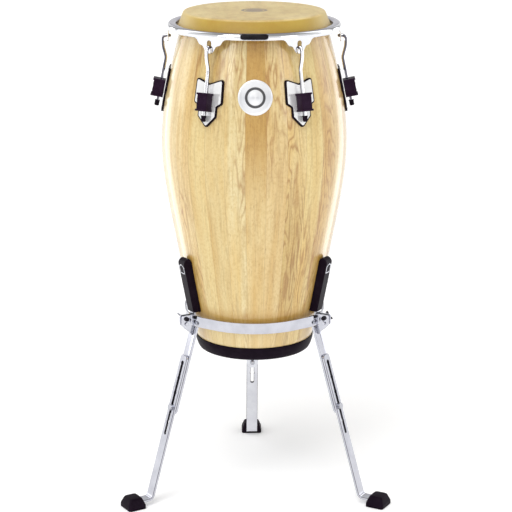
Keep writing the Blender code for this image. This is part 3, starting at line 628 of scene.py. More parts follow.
def offset(outline, distance, closed=True):
    """Shift a counter-clockwise outline outwards, or an open path to its right."""
    result = []
    count = len(outline)
    for index, point in enumerate(outline):
        here = Vector(point)
        before = Vector(outline[index - 1]) if closed or index > 0 else None
        after = Vector(outline[(index + 1) % count]) if closed or index < count - 1 else None
        into = (here - before).normalized() if before is not None else None
        away = (after - here).normalized() if after is not None else None
        into = into or away
        away = away or into
        normal = Vector((into.y + away.y, -into.x - away.x)).normalized()
        result.append(tuple(here + normal * distance / normal.dot(Vector((away.y, -away.x)))))
    return result


def strip(path, thickness):
    """The closed outline of a bar of one thickness along an open path."""
    right = offset(path, thickness / 2, closed=False)
    left = offset(path, -thickness / 2, closed=False)
    return right + left[::-1]


def rounded(outline, radius, steps=5):
    """A closed outline with each corner turned into a small arc."""
    result = []
    count = len(outline)
    for index, point in enumerate(outline):
        here = Vector(point)
        back = Vector(outline[index - 1]) - here
        ahead = Vector(outline[(index + 1) % count]) - here
        half = back.angle(ahead) / 2
        reach = min(radius / tan(half), 0.45 * min(back.length, ahead.length))
        start = here + back.normalized() * reach
        end = here + ahead.normalized() * reach
        for k in range(steps + 1):
            t = k / steps
            result.append(tuple(start * (1 - t) ** 2 + here * 2 * t * (1 - t) + end * t ** 2))
    return result


def smooth_radius(stations, height):
    """The radius at a height on the smooth curve through (height, radius) stations."""
    last = len(stations) - 1
    slopes = []
    for index in range(len(stations)):
        low = stations[max(index - 1, 0)]
        high = stations[min(index + 1, last)]
        slopes.append((high[1] - low[1]) / (high[0] - low[0]))
    index = max([k for k in range(last) if stations[k][0] <= height + 1e-9] or [0])
    (z0, r0), (z1, r1) = stations[index], stations[index + 1]
    span = z1 - z0
    t = (height - z0) / span
    return ((2 * t ** 3 - 3 * t ** 2 + 1) * r0 + (t ** 3 - 2 * t ** 2 + t) * span * slopes[index]
            + (3 * t ** 2 - 2 * t ** 3) * r1 + (t ** 3 - t ** 2) * span * slopes[index + 1])


def tube(path, radii, sides=24):
    """A round bar along a smooth path in XZ, with a radius at each of its points and closed ends."""
    rings = []
    path = [Vector((x, 0.0, z)) for x, z in path]
    for index, here in enumerate(path):
        ahead = path[min(index + 1, len(path) - 1)]
        behind = path[max(index - 1, 0)]
        side = Vector((0, 1, 0))
        up = (ahead - behind).normalized().cross(side).normalized()
        rings.append([here + radii[index] * (cos(a) * side + sin(a) * up)
                      for a in (tau * k / sides for k in range(sides))])
    return bridged(rings)


def smooth_path(points, steps):
    """A curve through all the points, with steps pieces between each two (Catmull-Rom)."""
    spots = [Vector(point) for point in points]
    spots = [2 * spots[0] - spots[1]] + spots + [2 * spots[-1] - spots[-2]]
    result = []
    for k in range(1, len(spots) - 2):
        a, b, c, d = spots[k - 1:k + 3]
        for step in range(steps):
            t = step / steps
            result.append(0.5 * (2 * b + (c - a) * t + (2 * a - 5 * b + 4 * c - d) * t ** 2
                                 + (3 * b - a - 3 * c + d) * t ** 3))
    return result + [spots[-2]]


def placed(mesh, matrix):
    """A copy of the mesh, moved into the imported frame."""
    copy = mesh.copy()
    copy.transform(matrix)
    return copy


def finish(mesh, *materials):
    """Give the mesh its materials and smooth shading between sharp edges."""
    for material in materials:
        mesh.materials.append(material)
    mesh.shade_smooth()
    mesh.set_sharp_from_angle(angle=SMOOTH_ANGLE)
    return mesh


def mark_faces(mesh, test, number=1):
    """Use the numbered material on the faces whose middle and normal pass the test."""
    for face in mesh.polygons:
        face.material_index = number if test(face.center, face.normal) else 0
    return mesh


def piece(name, mesh, body, stands_for=(), matrix=None, bevel=0.0, slot=None, edge_material=0):
    """One finished piece: soft edges, its body and the CAD nodes it stands for."""
    thing = add_object(name, mesh)
    if matrix is not None:
        thing.matrix_world = matrix
    if bevel:
        edge = thing.modifiers.new("edges", "BEVEL")
        edge.width = bevel
        edge.segments = 3
        edge.limit_method = "ANGLE"
        edge.angle_limit = BEVEL_ANGLE
        edge.harden_normals = True
        if edge_material:
            edge.material = edge_material
    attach(thing, body)
    if stands_for:
        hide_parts(*stands_for)


def numbered(number, name, mesh, matrix, body, node, *rest):
    """One of several alike pieces, its mesh moved into place and named by its number."""
    stands_for = [f"{node}_{number}"] if node else ()
    piece(f"{name}_{number}", placed(mesh, matrix), body, stands_for, None, *rest)


def azimuth_matrix(azimuth):
    """From a frame whose +X points outwards at an azimuth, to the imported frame."""
    return AXIS @ turned(azimuth - 90)


LUG_LEAN = Matrix.Translation((LUG_R, 0, LUG_Z)) @ Matrix.Rotation(-LUG_TILT, 4, "Y")
LEG_LEAN = Matrix.Translation((PIVOT_R, 0, PIVOT_Z)) @ Matrix.Rotation(-LEG_TILT, 4, "Y")


# ---- drum --------------------------------------------------------------------------------------
def shell_radius(height):
    return smooth_radius(SHELL_STATIONS, height)


def shell_profile(rows, grow=0.0):
    """The shell's outside as (radius, height) points from the bottom up."""
    low, high = SHELL_STATIONS[0][0], SHELL_STATIONS[-1][0]
    heights = [low + (high - low) * row / rows for row in range(rows + 1)]
    return [(shell_radius(z) + grow, z) for z in heights]


def shell_mesh():
    outer = shell_profile(72)
    low = outer[0][1]
    edge = arc((BEARING_R, SHELL_TOP - BEARING_ROUND), BEARING_ROUND, 10, 170, 8)
    inner = [(radius - SHELL_WALL, z) for radius, z in outer]
    foot = [(inner[0][0] + CHAMFER, low), (outer[0][0] - CHAMFER, low)]
    outer[0] = (outer[0][0], low + CHAMFER)
    inner[0] = (inner[0][0], low + CHAMFER)
    return lathe(foot + outer + edge + inner[::-1], STAVES * 8)


def envelope(grow, segments=180):
    """A plain solid as wide as the shell plus a margin, for fitting pieces to the shell."""
    outer = shell_profile(60, grow)
    return lathe([(0.0, outer[0][1])] + outer + [(0.0, outer[-1][1])], segments)


def bottom_ring_mesh():
    top = SHELL_STATIONS[0][0] - GAP
    outer_r = SHELL_STATIONS[0][1]
    lip_r = outer_r - SHELL_WALL - GAP - 0.0012
    side = smooth_path([(outer_r + 0.0013, top - 0.0012), (outer_r + 0.0009, top - 0.008),
                        (outer_r - 0.0026, top - 0.02), (FOOT_RING_R + 0.0012, FOOT_RING_LOW + 0.0012)], 6)
    lip = [(FOOT_RING_R - 0.0004, FOOT_RING_LOW), (lip_r - 0.0042, FOOT_RING_LOW),
           (lip_r - 0.0045, FOOT_RING_LOW + 0.0006), (lip_r - 0.003, top + 0.0075),
           (lip_r - 0.0024, top + 0.008), (lip_r - 0.0005, top + 0.008),
           (lip_r, top + 0.0074), (lip_r, top)]
    return lathe([(outer_r + 0.0003, top)] + side + lip, 160)


def drumhead_mesh():
    """The skin: flat top, rounded collar and a tuck that wraps under the flesh hoop."""
    wrap_low = HOOP_Z - HOOP_SECTION_R
    wrap_in = HOOP_R - HOOP_SECTION_R - GAP
    wrap_out = HOOP_R + HOOP_SECTION_R + GAP
    inside = HEAD_TOP - HEAD_SKIN
    flat = [(0.01 * k, HEAD_TOP) for k in range(14)]
    collar = smooth_path([(0.14, HEAD_TOP), (0.1446, HEAD_TOP - 0.0002), (0.1482, HEAD_TOP - 0.0017),
                          (0.1501, HEAD_TOP - 0.0052), (0.1545, 1.0345), (0.1598, HOOP_Z + 0.0042)], 5)
    tuck = [(wrap_in - 0.0008, HOOP_Z + 0.0016), (wrap_in, HOOP_Z - 0.0002),
            (HOOP_R - 0.0021, wrap_low + 0.0002), (HOOP_R, wrap_low - 0.0005),
            (HOOP_R + 0.0021, wrap_low + 0.0002), (wrap_out, HOOP_Z), (wrap_out, HOOP_Z + 0.0015)]
    under = [(0.0, inside), (0.144, inside), (0.1474, HEAD_TOP - 0.0056), (0.1572, HOOP_Z + 0.003),
             (wrap_in - HEAD_SKIN, HOOP_Z - 0.001), (HOOP_R - 0.0031, wrap_low - HEAD_SKIN),
             (HOOP_R + 0.0031, wrap_low - HEAD_SKIN), (wrap_out + HEAD_SKIN, HOOP_Z - 0.001),
             (wrap_out + HEAD_SKIN, HOOP_Z + 0.0015)]
    return lathe(flat + collar + tuck + under[::-1], 192)


def ear_low(distance):
    """Height of the rim's lower edge at a distance along the rim from an ear's middle."""
    for (x0, z0), (x1, z1) in zip(EAR_EDGE, EAR_EDGE[1:]):
        if distance <= x1:
            return z0 + (z1 - z0) * (distance - x0) / (x1 - x0)
    return RIM_BAND_LOW


def rim_mesh():
    """A rolled band whose outer wall drops into six ears, each with an upright slot."""
    half = [0.0007 * k / RIM_OUTER_R for k in range(60)]
    half += [radians(a) for a in (14.5, 16, 18, 20, 22, 24, 26, 28)]
    sector = [-angle for angle in half[:0:-1]] + half + [radians(30)]
    inside = RIM_OUTER_R - RIM_SHEET
    flange = HOOP_Z + HOOP_SECTION_R + GAP
    under = RIM_TOP - RIM_SHEET
    crown = [(RIM_ROLL_R + (RIM_OUTER_R - RIM_ROLL_R) * cos(radians(a)),
              RIM_ROLL_Z + (RIM_TOP - RIM_ROLL_Z) * sin(radians(a))) for a in range(0, 91, 10)]
    inner_roll = [(0.17 + (RIM_INNER_R - 0.17) * sin(radians(a)),
                   1.0243 + (RIM_TOP - 1.0243) * cos(radians(a))) for a in range(0, 91, 15)]
    back = [(RIM_INNER_R, flange + 0.0004), (RIM_INNER_R + CHAMFER, flange),
            (RIM_INNER_R + RIM_SHEET, flange), (0.169, under - 0.0008), (0.171, under),
            (0.175, under), (0.1785, 1.0235), (inside, 1.0195)]
    rings = []
    for azimuth in sorted(a % 360 for a in LUG_AZIMUTHS):
        for turn in sector:
            low = ear_low(abs(turn) * RIM_OUTER_R)
            heading = radians(azimuth - 90) + turn
            wall = [(inside, low + CHAMFER), (inside + CHAMFER, low), (RIM_OUTER_R - CHAMFER, low),
                    (RIM_OUTER_R, low + CHAMFER)]
            outline = wall[2:] + crown + inner_roll + back + wall[:2]
            rings.append([(*polar(r, heading), z) for r, z in outline])
    slot = (arc((0.0, SLOT_TOP - SLOT_HALF_WIDTH), SLOT_HALF_WIDTH, 0, 180, 16)
            + arc((0.0, SLOT_LOW + SLOT_HALF_WIDTH), SLOT_HALF_WIDTH, 180, 360, 16))
    cutters = [prism(slot, 0.172, 0.19, "x", turned(a - 90)) for a in LUG_AZIMUTHS]
    return carved(bridged(rings, round_trip=True), *cutters)


def draped(outline, profile, locate):
    """A closed plate over a curved surface, from (share of the outline, lift) rings outwards."""
    shape = bmesh.new()
    sides = len(outline)
    rings = []
    for share, lift in profile:
        spots = outline if share else [(0.0, 0.0)]
        rings.append([shape.verts.new(locate(u * share, v * share, lift)) for u, v in spots])
    for ring, following in zip(rings, rings[1:]):
        for k in range(sides):
            corners = [ring[k % len(ring)], ring[(k + 1) % len(ring)],
                       following[(k + 1) % len(following)], following[k % len(following)]]
            shape.faces.new(list(dict.fromkeys(corners)))
    return to_mesh(shape)


def on_shell(across, up, lift):
    """The point on the shell's front at a distance across and up from the badge's middle."""
    z = BADGE_Z + up
    return (across, -sqrt((shell_radius(z) + lift) ** 2 - across ** 2), z)


def badge_mesh():
    top = GAP + BADGE_THICKNESS
    low = top - 0.0004
    profile = [(0.0, GAP), (0.33, GAP), (0.66, GAP), (0.97, GAP), (1.0, GAP + 0.0003), (1.0, top - 0.0003),
               (0.985, top), (0.93, top), (0.915, low), (0.75, low), (0.63, low), (0.62, top), (0.58, top),
               (0.57, low), (0.42, low), (0.3, low), (0.27, top), (0.12, top), (0.0, top)]
    return draped(circle(BADGE_RADIUS, 72), profile, on_shell)


def on_rim(across, up, lift):
    """The point on the rim's front wall and roll, at a distance across and up its surface."""
    bend = RIM_OUTER_R - RIM_ROLL_R
    rise = up + LABEL_Z - RIM_ROLL_Z
    lean = max(rise, 0.0) / bend
    radius = RIM_ROLL_R + (bend + lift) * cos(lean)
    angle = across / RIM_OUTER_R
    z = RIM_ROLL_Z + min(rise, 0.0) + (bend + lift) * sin(lean)
    return (radius * sin(angle), -radius * cos(angle), z)


def label_mesh(half_length, half_height, low, top):
    straight = half_length - half_height
    count = 14
    outline = [(straight * (1 - 2 * k / count), half_height) for k in range(count)]
    outline += [(x - straight, z) for x, z in arc((0, 0), half_height, 90, 270, 12)]
    outline += [(-straight * (1 - 2 * k / count), -half_height) for k in range(1, count)]
    outline += [(x + straight, z) for x, z in arc((0, 0), half_height, -90, 90, 12)][:-1]
    profile = [(0.0, low), (0.5, low), (0.98, low), (1.0, (low + top) / 2), (0.985, top), (0.5, top),
               (0.0, top)]
    return draped(outline, profile, on_rim)


# ---- lugs, in the lug's frame ------------------------------------------------------------------
def plate_outline(grow=0.0):
    right = [(0.0, -0.0478), (0.0186, -0.0278), (0.019, -0.007), (0.0302, 0.0005),
             (0.0285, 0.046), (0.0, 0.0352)]
    outline = mirrored(right)
    return rounded(offset(outline, grow) if grow else outline, PLATE_CORNER + grow)


def gasket_mesh():
    front = PLATE_FRONT - PLATE_THICKNESS - GAP
    slab = prism(plate_outline(GASKET_MARGIN), front - 0.02, front, "x")
    hollow = envelope(GAP)
    hollow.transform(LUG_LEAN.inverted())
    return carved(slab, hollow)


def side_plate_mesh():
    """The shield-shaped plate and its arm, with a pressed rim where the two meet."""
    plate = prism(plate_outline(), PLATE_FRONT - PLATE_THICKNESS, PLATE_FRONT, "x")
    reach = arc((0.0, 0.0), ARM_HALF_WIDTH, -90, 90, 20)
    root = PLATE_FRONT - 0.001
    arm = prism([(root, -ARM_HALF_WIDTH)] + reach + [(root, ARM_HALF_WIDTH)],
                -ARM_HALF_HEIGHT, ARM_HALF_HEIGHT)
    hole = disc(ROD_RADIUS + 0.0005, -0.01, 0.01, sides=32)
    return carved(joined(plate, arm), hole)


def lug_block_mesh():
    """The rubber block: a lip round each end, rod bore above, nut recess below."""
    back = PLATE_FRONT + GAP
    front = back + BLOCK_DEPTH
    side = BLOCK_HALF_WIDTH
    top = BLOCK_HALF_HEIGHT

    def layer(grow, low, high):
        corners = [(back, -side - grow), (front + grow, -side - grow), (front + grow, side + grow),
                   (back, side + grow)]
        return prism(rounded(corners, 0.0022), low, high)
    body = layer(0.0, -top, top)
    lips = [layer(BLOCK_LIP, low, low + 0.004) for low in (-top - 0.0005, top - 0.0035)]
    ribs = [layer(0.0005, low, low + 0.0012) for low in (-0.0075, 0.0063)]
    pocket = box((back - 0.005, -ARM_HALF_WIDTH - GAP, -ARM_HALF_HEIGHT - GAP),
                 (ARM_REACH + 0.0012, ARM_HALF_WIDTH + GAP, ARM_HALF_HEIGHT + GAP))
    bore = disc(ROD_RADIUS + 0.0004, 0.0, 0.03, sides=32)
    recess = disc(NUT_RADIUS + 0.0006, -0.03, 0.0, sides=32)
    return carved(joined(body, *lips, *ribs), pocket, bore, recess)


def lug_rod_mesh():
    """The hooked rod, swept along its middle line, with rounded ends."""
    def on_axis(distance):
        return (LUG_R - distance * sin(LUG_TILT), LUG_Z + distance * cos(LUG_TILT))
    bend = on_axis(ROD_BEND)
    shoulder = (0.1922, 0.979)
    points = [on_axis(distance) for distance in (-ROD_TAIL, -0.02, 0.0, ROD_BEND * 0.35, ROD_BEND * 0.7)]
    for up, out in ((0.0, 0.04), (0.35, 0.3), (0.7, 0.75), (1.0, 1.0)):
        points.append((bend[0] + (shoulder[0] - bend[0]) * out, bend[1] + (shoulder[1] - bend[1]) * up))
    points += arc((shoulder[0] - HOOK_BEND_R, HOOK_Z - HOOK_BEND_R), HOOK_BEND_R, 0, 90, 6)
    path = smooth_path(points + [(HOOK_TIP_R, HOOK_Z)], 5)
    radii = [ROD_RADIUS] * len(path)
    for k, share in ((0, 0.72), (1, 0.93), (-1, 0.55), (-2, 0.88)):
        radii[k] = ROD_RADIUS * share
    mesh = tube(path, radii)
    mesh.transform(LUG_LEAN.inverted())
    return mesh


def lug_nut_mesh():
    top = -ARM_HALF_HEIGHT - GAP
    body = disc(NUT_RADIUS, top - NUT_HEIGHT, top, sides=6)
    return carved(body, disc(ROD_RADIUS + GAP, -0.03, 0.01, sides=32))


def rod_cap_mesh():
    """The soft cap on a rod's lower end."""
    low, high, radius = -ROD_TAIL - 0.002, -0.0272, 0.005
    dome = arc((radius - 0.002, low + 0.002), 0.002, -90, 0, 6)
    collar = [(radius, high - 0.0032), (radius + 0.0004, high - 0.0028), (radius + 0.0004, high - 0.0006),
              (radius - 0.0002, high)]
    return lathe([(0.0, low)] + dome + collar + [(0.0, high)], 40)


# ---- stand -------------------------------------------------------------------------------------
def band_radius(angle):
    """Middle of the band at an angle in radians from a bracket: it flares out near the bracket."""
    ease = min(abs(angle) / FLARE_ANGLE, 1.0)
    ease = ease * ease * (3 - 2 * ease)
    return BRACKET_RING_R + (RING_R - BRACKET_RING_R) * ease


def ring_path():
    """One arc of the band seen from above, from ear to ear, drawn about +X."""
    bend_start = EAR_OFFSET + EAR_BEND_R
    first = bend_start / BRACKET_RING_R
    half = [(EAR_TIP_R, EAR_OFFSET)]
    half += arc((BRACKET_RING_R + EAR_BEND_R, bend_start), EAR_BEND_R, 270, 180, 10)
    steps = 32
    for k in range(1, steps + 1):
        angle = first + (radians(60) - first) * k / steps
        half.append(polar(band_radius(angle), angle))
    turn = Matrix.Rotation(radians(-60), 2)
    near = [tuple(turn @ Vector(point)) for point in half]
    return near + [(x, -y) for x, y in near[-2::-1]]


def ring_arc_mesh():
    band = prism(strip(ring_path(), RING_THICKNESS), RING_LOW, RING_TOP)
    cuts = []
    for turn in (-60, 60):
        ear = turned(turn)
        for height, radius in ((PIVOT_Z, PIVOT_PIN_RADIUS + GAP), (WING_BOLT_Z, HOLE_RADIUS)):
            cuts.append(disc(radius, -0.02, 0.02, "y", 32, (PIVOT_R, height), ear))
        corner = 0.004
        for end, sign in ((RING_TOP, -1), (RING_LOW, 1)):
            inner = arc((EAR_TIP_R - corner, end + sign * corner), corner, 0, -90 * sign, 8)
            trim = [(EAR_TIP_R + 0.002, end + sign * corner)] + inner
            trim += [(EAR_TIP_R - corner, end - sign * 0.002), (EAR_TIP_R + 0.002, end - sign * 0.002)]
            cuts.append(prism(trim, -0.009, 0.009, "y", ear))
        rivet_turn = turned(turn - copysign(RIVET_ANGLE, turn))
        cuts.append(disc(RIVET_RADIUS + GAP, 0.14, 0.17, "x", 24, (0.0, RIVET_Z), rivet_turn))
    return carved(band, *cuts)


def upright_path(top):
    rise = top - UPRIGHT_BEND_Z
    return [(UPRIGHT_R, UPRIGHT_LOW), (UPRIGHT_R, UPRIGHT_BEND_Z),
            (UPRIGHT_R + rise * tan(PAD_TILT), top)]


def upright_mesh():
    """The flat bar, its saddle across two band ends, and the rivets that hold them."""
    bar = prism(strip(upright_path(UPRIGHT_TOP), BAR_THICKNESS),
                -UPRIGHT_HALF_WIDTH, UPRIGHT_HALF_WIDTH, "y")
    inwards = (RING_THICKNESS + SADDLE_THICKNESS) / 2 + SADDLE_GAP
    path = []
    for k in range(9):
        angle = radians(SADDLE_ANGLE * (k / 4 - 1))
        path.append(polar(band_radius(max(abs(angle), radians(5))) - inwards, angle))
    saddle = prism(strip(path, SADDLE_THICKNESS), SADDLE_LOW, SADDLE_TOP)
    notch = box((0.14, -SADDLE_NOTCH_HALF, SADDLE_LOW - 0.01), (0.17, SADDLE_NOTCH_HALF, UPRIGHT_LOW))
    saddle = carved(saddle, notch)
    face = band_radius(radians(RIVET_ANGLE)) + RING_THICKNESS / 2
    rivets = []
    for side in (-1, 1):
        turn = turned(side * RIVET_ANGLE)
        for low, high, radius in ((-RING_THICKNESS - 0.0015, 0.0013, RIVET_RADIUS),
                                  (RIVET_SEAT, RIVET_SEAT + RIVET_HEAD_HEIGHT, RIVET_HEAD_RADIUS)):
            rivets.append(disc(radius, face + low, face + high, "x", 24, (0.0, RIVET_Z), turn))
    return joined(bar, saddle, *rivets)


def pad_mesh():
    """The rubber sleeve over the upright, its inner face moulded to the shell."""
    outer_top = PAD_OUTER_R + (PAD_TOP - PAD_LOW) * tan(PAD_TILT)
    outline = [(PAD_OUTER_R - 0.03, PAD_LOW), (PAD_OUTER_R - 0.0008, PAD_LOW),
               (PAD_OUTER_R + 0.0002, PAD_LOW + 0.001)]
    outline += arc((outer_top - PAD_CORNER, PAD_TOP - PAD_CORNER), PAD_CORNER, -degrees(PAD_TILT), 90, 16)
    outline += arc((PAD_INNER_TOP_R + PAD_INNER_CORNER, PAD_TOP - PAD_INNER_CORNER),
                   PAD_INNER_CORNER, 90, 180, 12)
    outline += [(PAD_OUTER_R - 0.03, PAD_TOP - PAD_INNER_CORNER)]
    block = prism(outline, -PAD_HALF_WIDTH, PAD_HALF_WIDTH, "y")
    pocket = prism(strip(upright_path(UPRIGHT_TOP + 0.0005), BAR_THICKNESS + 2 * GAP),
                   -UPRIGHT_HALF_WIDTH - GAP, UPRIGHT_HALF_WIDTH + GAP, "y")
    return carved(block, envelope(GAP, 240), pocket)


def pad_mark_mesh():
    """A plain raised frame moulded on the pad's outer face, near its top."""
    corners = [(-0.0098, -0.0105), (0.0098, -0.0105), (0.0098, 0.0065), (0.0, 0.0115), (-0.0098, 0.0065)]
    outer = rounded(corners, 0.004, 8)
    inner = offset(outer, -0.002)
    plate = prism(outer, -0.0006, 0.0005, "x")
    return carved(plate, prism(inner, -0.002, 0.002, "x"))


def pad_mark_matrix():
    """The middle of the mark: on the pad's outer face, which leans with the shell."""
    top_r = PAD_OUTER_R + (PAD_TOP - PAD_LOW) * tan(PAD_TILT) - PAD_CORNER * (1 - cos(PAD_TILT))
    top_z = PAD_TOP - PAD_CORNER * (1 + sin(PAD_TILT))
    lean = atan2(top_r - PAD_OUTER_R, top_z - PAD_LOW)
    height = top_z - 0.01
    radius = top_r - (top_z - height) * tan(lean)
    return Matrix.Translation((radius, 0.0, height)) @ Matrix.Rotation(lean, 4, "Y")


# ---- legs, in the leg's frame, whose origin is the fold pivot ----------------------------------
def tongue_outline():
    bolt_rise = WING_BOLT_Z - PIVOT_Z
    heel_radius = bolt_rise - BOLT_RADIUS - 0.0006
    finger_in = BOLT_RADIUS + GAP
    finger_top = bolt_rise + 0.0045
    return ([(-0.023, -0.04), (-0.012, -0.023), (0.002, -0.0115), (0.0085, -0.004),
             (0.0085, 0.006), (0.0078, finger_top), (finger_in, finger_top)]
            + arc((0.0, 0.0), heel_radius, 64, 170, 16)
            + [(-0.014, -0.0062), (-0.023, -0.0095)])


def upper_leg_mesh():
    low_end = arc((0.0, UPPER_BAR_LOW + LEG_HALF_WIDTH), LEG_HALF_WIDTH, 180, 360, 24)
    bar = prism([(LEG_HALF_WIDTH, UPPER_BAR_TOP), (-LEG_HALF_WIDTH, UPPER_BAR_TOP)] + low_end,
                UPPER_BAR_X - BAR_THICKNESS / 2, UPPER_BAR_X + BAR_THICKNESS / 2, "x")
    tongue = prism(tongue_outline(), -TONGUE_HALF, TONGUE_HALF, "y", Matrix.Rotation(LEG_TILT, 4, "Y"))
    ear_face = EAR_OFFSET + RING_THICKNESS / 2
    pin = disc(PIVOT_PIN_RADIUS, -ear_face - 0.002, ear_face + 0.002, "y")
    heads = [disc(PIN_HEAD_RADIUS, side * (ear_face + 0.0004), side * (ear_face + 0.0032), "y")
             for side in (-1, 1)]
    hole = disc(HOLE_RADIUS, -0.05, 0.0, "x", centre=(0.0, LOCK_BOLT_Z))
    return carved(joined(bar, tongue, pin, *heads), hole)


def toe_path():
    """The lower bar's middle line: straight down the leg, then bent level into the foot."""
    drop = (TOE_Z - PIVOT_Z - LOWER_BAR_X * sin(LEG_TILT)) / cos(LEG_TILT)
    corner = Vector((LOWER_BAR_X, drop))
    level = Vector((cos(LEG_TILT), -sin(LEG_TILT)))
    turn = pi / 2 - LEG_TILT
    centre = corner + Vector((TOE_BEND_R, TOE_BEND_R * tan(turn / 2)))
    bend = arc(tuple(centre), TOE_BEND_R, 180, 180 + degrees(turn), 16)
    reach = TOE_END_R - (PIVOT_R + LOWER_BAR_X * cos(LEG_TILT) - drop * sin(LEG_TILT))
    return [(LOWER_BAR_X, LOWER_BAR_TOP)] + bend + [tuple(corner + level * reach)]


def notched_slot():
    """The outline of the lower bar's slot, with a round notch at each leg length."""
    notches = [LOCK_BOLT_Z + NOTCH_PITCH * k for k in range(-NOTCHES_BELOW, NOTCHES_ABOVE + 1)]
    bite = degrees(asin(LEG_SLOT_HALF_WIDTH / NOTCH_RADIUS))
    right = arc((0.0, LEG_SLOT_LOW + LEG_SLOT_HALF_WIDTH), LEG_SLOT_HALF_WIDTH, -90, 0, 10)
    for height in notches:
        end = 90 if height == notches[-1] else 90 - bite
        right += arc((0.0, height), NOTCH_RADIUS, -90 + bite, end, 14)
    return mirrored(right)


def lower_leg_mesh():
    bar = prism(strip(toe_path(), BAR_THICKNESS), -LEG_HALF_WIDTH, LEG_HALF_WIDTH, "y")
    slot = prism(notched_slot(), LOWER_BAR_X - 0.01, LOWER_BAR_X + 0.01, "x")
    corner = 0.008
    trims = []
    for side in (-1, 1):
        centre = (side * (LEG_HALF_WIDTH - corner), LOWER_BAR_TOP - corner)
        edge = arc(centre, corner, 90 - 90 * side if side > 0 else 180, 90, 8)
        outside = side * (LEG_HALF_WIDTH + 0.002)
        trims.append(prism([(outside, centre[1])] + edge + [(centre[0], LOWER_BAR_TOP + 0.002),
                                                            (outside, LOWER_BAR_TOP + 0.002)],
                           LOWER_BAR_X - 0.01, LOWER_BAR_X + 0.01, "x"))
    return carved(bar, slot, *trims)


def foot_mesh():
    """The rubber foot: a sloping block with a pocket for the bar and grooves across its sole."""
    middle = (FOOT_INNER_R + FOOT_OUTER_R) / 2
    half_length = (FOOT_OUTER_R - FOOT_INNER_R) / 2
    rings = []
    for inset, height in ((0.0006, 0.0), (0.0, 0.0008), (0.0, 0.0072), (0.0003, 0.0092), (0.0012, 0.0116),
                          (0.005, 0.0208), (0.006, 0.0228), (0.0074, 0.024), (0.0092, FOOT_HEIGHT)):
        length, width = half_length - inset, FOOT_HALF_WIDTH - inset
        corners = [(-length, -width), (length, -width), (length, width), (-length, width)]
        outline = rounded(corners, 0.0062, 8)
        rings.append([(middle + x, y, height) for x, y in outline])
    block = bridged(rings)
    half = BAR_THICKNESS / 2 + GAP
    cuts = [box((FOOT_INNER_R - 0.01, -LEG_HALF_WIDTH - GAP, TOE_Z - half),
                (TOE_END_R + GAP, LEG_HALF_WIDTH + GAP, TOE_Z + half))]
    for k in range(-2, 3):
        across = middle + GROOVE_PITCH * k
        cuts.append(box((across - 0.001, -0.03, -0.001), (across + 0.001, 0.03, 0.0014)))
    mesh = carved(block, *cuts)
    mesh.transform(LEG_LEAN.inverted())
    return mesh


def wing_bolt_mesh():
    """A bolt along Y with a hexagon head at -Y and a pair of rounded wings at +Y."""
    face = EAR_OFFSET + RING_THICKNESS / 2 + GAP
    shank = disc(BOLT_RADIUS, -face - 0.002, face + 0.01, "y")
    head = disc(WING_HEAD_RADIUS, -face - BOLT_HEAD_HEIGHT, -face, "y", 6)
    hub = disc(WING_HUB_RADIUS, face, face + 0.009, "y", 28)
    wing = [(0.0, face + 0.005), (0.0095, face + 0.008), (0.0112, face + 0.015),
            (0.007, face + 0.0155), (0.0, face + 0.01)]
    wings = prism(rounded(mirrored(wing), 0.0018, 4), -WING_HALF_THICKNESS, WING_HALF_THICKNESS, "z",
                  turned(WING_TURN, "Y"))
    return joined(shank, head, hub, wings)


def lock_bolt_mesh():
    """A bolt along X with a hexagon head inside the leg and a fluted knob outside it."""
    inner = UPPER_BAR_X - BAR_THICKNESS / 2 - GAP
    outer = LOWER_BAR_X + BAR_THICKNESS / 2 + GAP
    shank = disc(BOLT_RADIUS, inner - 0.001, outer + 0.001, "x")
    head = disc(LOCK_HEAD_RADIUS, inner - BOLT_HEAD_HEIGHT, inner, "x", 6)
    around = [tau * k / 96 for k in range(96)]
    flutes = [polar(KNOB_RADIUS + KNOB_FLUTE * cos(KNOB_FLUTES * a), a) for a in around]
    knob = prism(flutes, outer, outer + KNOB_HEIGHT, "x")
    return joined(shank, head, knob)


# ---- assembly ----------------------------------------------------------------------------------
WOOD = wood_material()
HIDE = hide_material()
CHROME = chrome_material("chrome", (238, 239, 243), (247, 248, 251))
PLATE_CHROME = chrome_material("plate_chrome", (250, 250, 251), (254, 254, 254), 0.5)
STAND_CHROME = chrome_material("stand_chrome", (188, 189, 198), (205, 206, 214))
# Painted light: a lighter copy of the stand's chrome for the rear leg's bars.
REAR_CHROME_PAINTED_LIGHT = chrome_material("rear_chrome_painted_light", (216, 217, 224), (230, 231, 236))
# Painted dark reflection: a dark chrome for bevelled edges and the sides of the rods.
DARK_REFLECTION_CHROME = chrome_material("chrome_painted_dark_reflection", (82, 80, 90), (110, 108, 118))
# Painted shade: a darker, lilac chrome for the rim's roll and inside.
ROLL_CHROME_PAINTED_SHADE = chrome_material("roll_chrome_painted_shade", (172, 170, 183), (198, 196, 207))
ROD_CHROME = chrome_material("rod_chrome", (236, 236, 240), (247, 247, 250))
STEEL = steel_material()
RUBBER = black_material("black_rubber", (16, 5, 18), 0.5, 1400.0, 0.00012)
# Painted sheen: a greyer rubber for the pad's outer face, standing in for light on it.
PAD_FACE_PAINTED_SHEEN = black_material("pad_face_painted_sheen", (32, 27, 34), 0.5, 900.0, 0.0001)
PLASTIC = black_material("black_plastic", (34, 16, 36), 0.4, 2200.0, 0.00006)
# Blacked steel for the wing screw's hub and head; the same black is painted shade on the walls of the legs'
# slots.
BOLT_BLACK_AND_SLOT_SHADE = black_material("blacked_steel_and_slot_shade", (30, 27, 33), 0.35, 1800.0, 0.00004)
BADGE = badge_material()
INK = black_material("label_ink", (26, 24, 27), 0.28, 3000.0, 0.00002)


def faces_the_axis(middle, normal):
    """True on the rim's roll and inside, which lean towards the drum's axis."""
    outward = (middle.x * normal.x + middle.y * normal.y) / hypot(middle.x, middle.y)
    return outward < 0.5 and middle.z > RIM_BAND_LOW


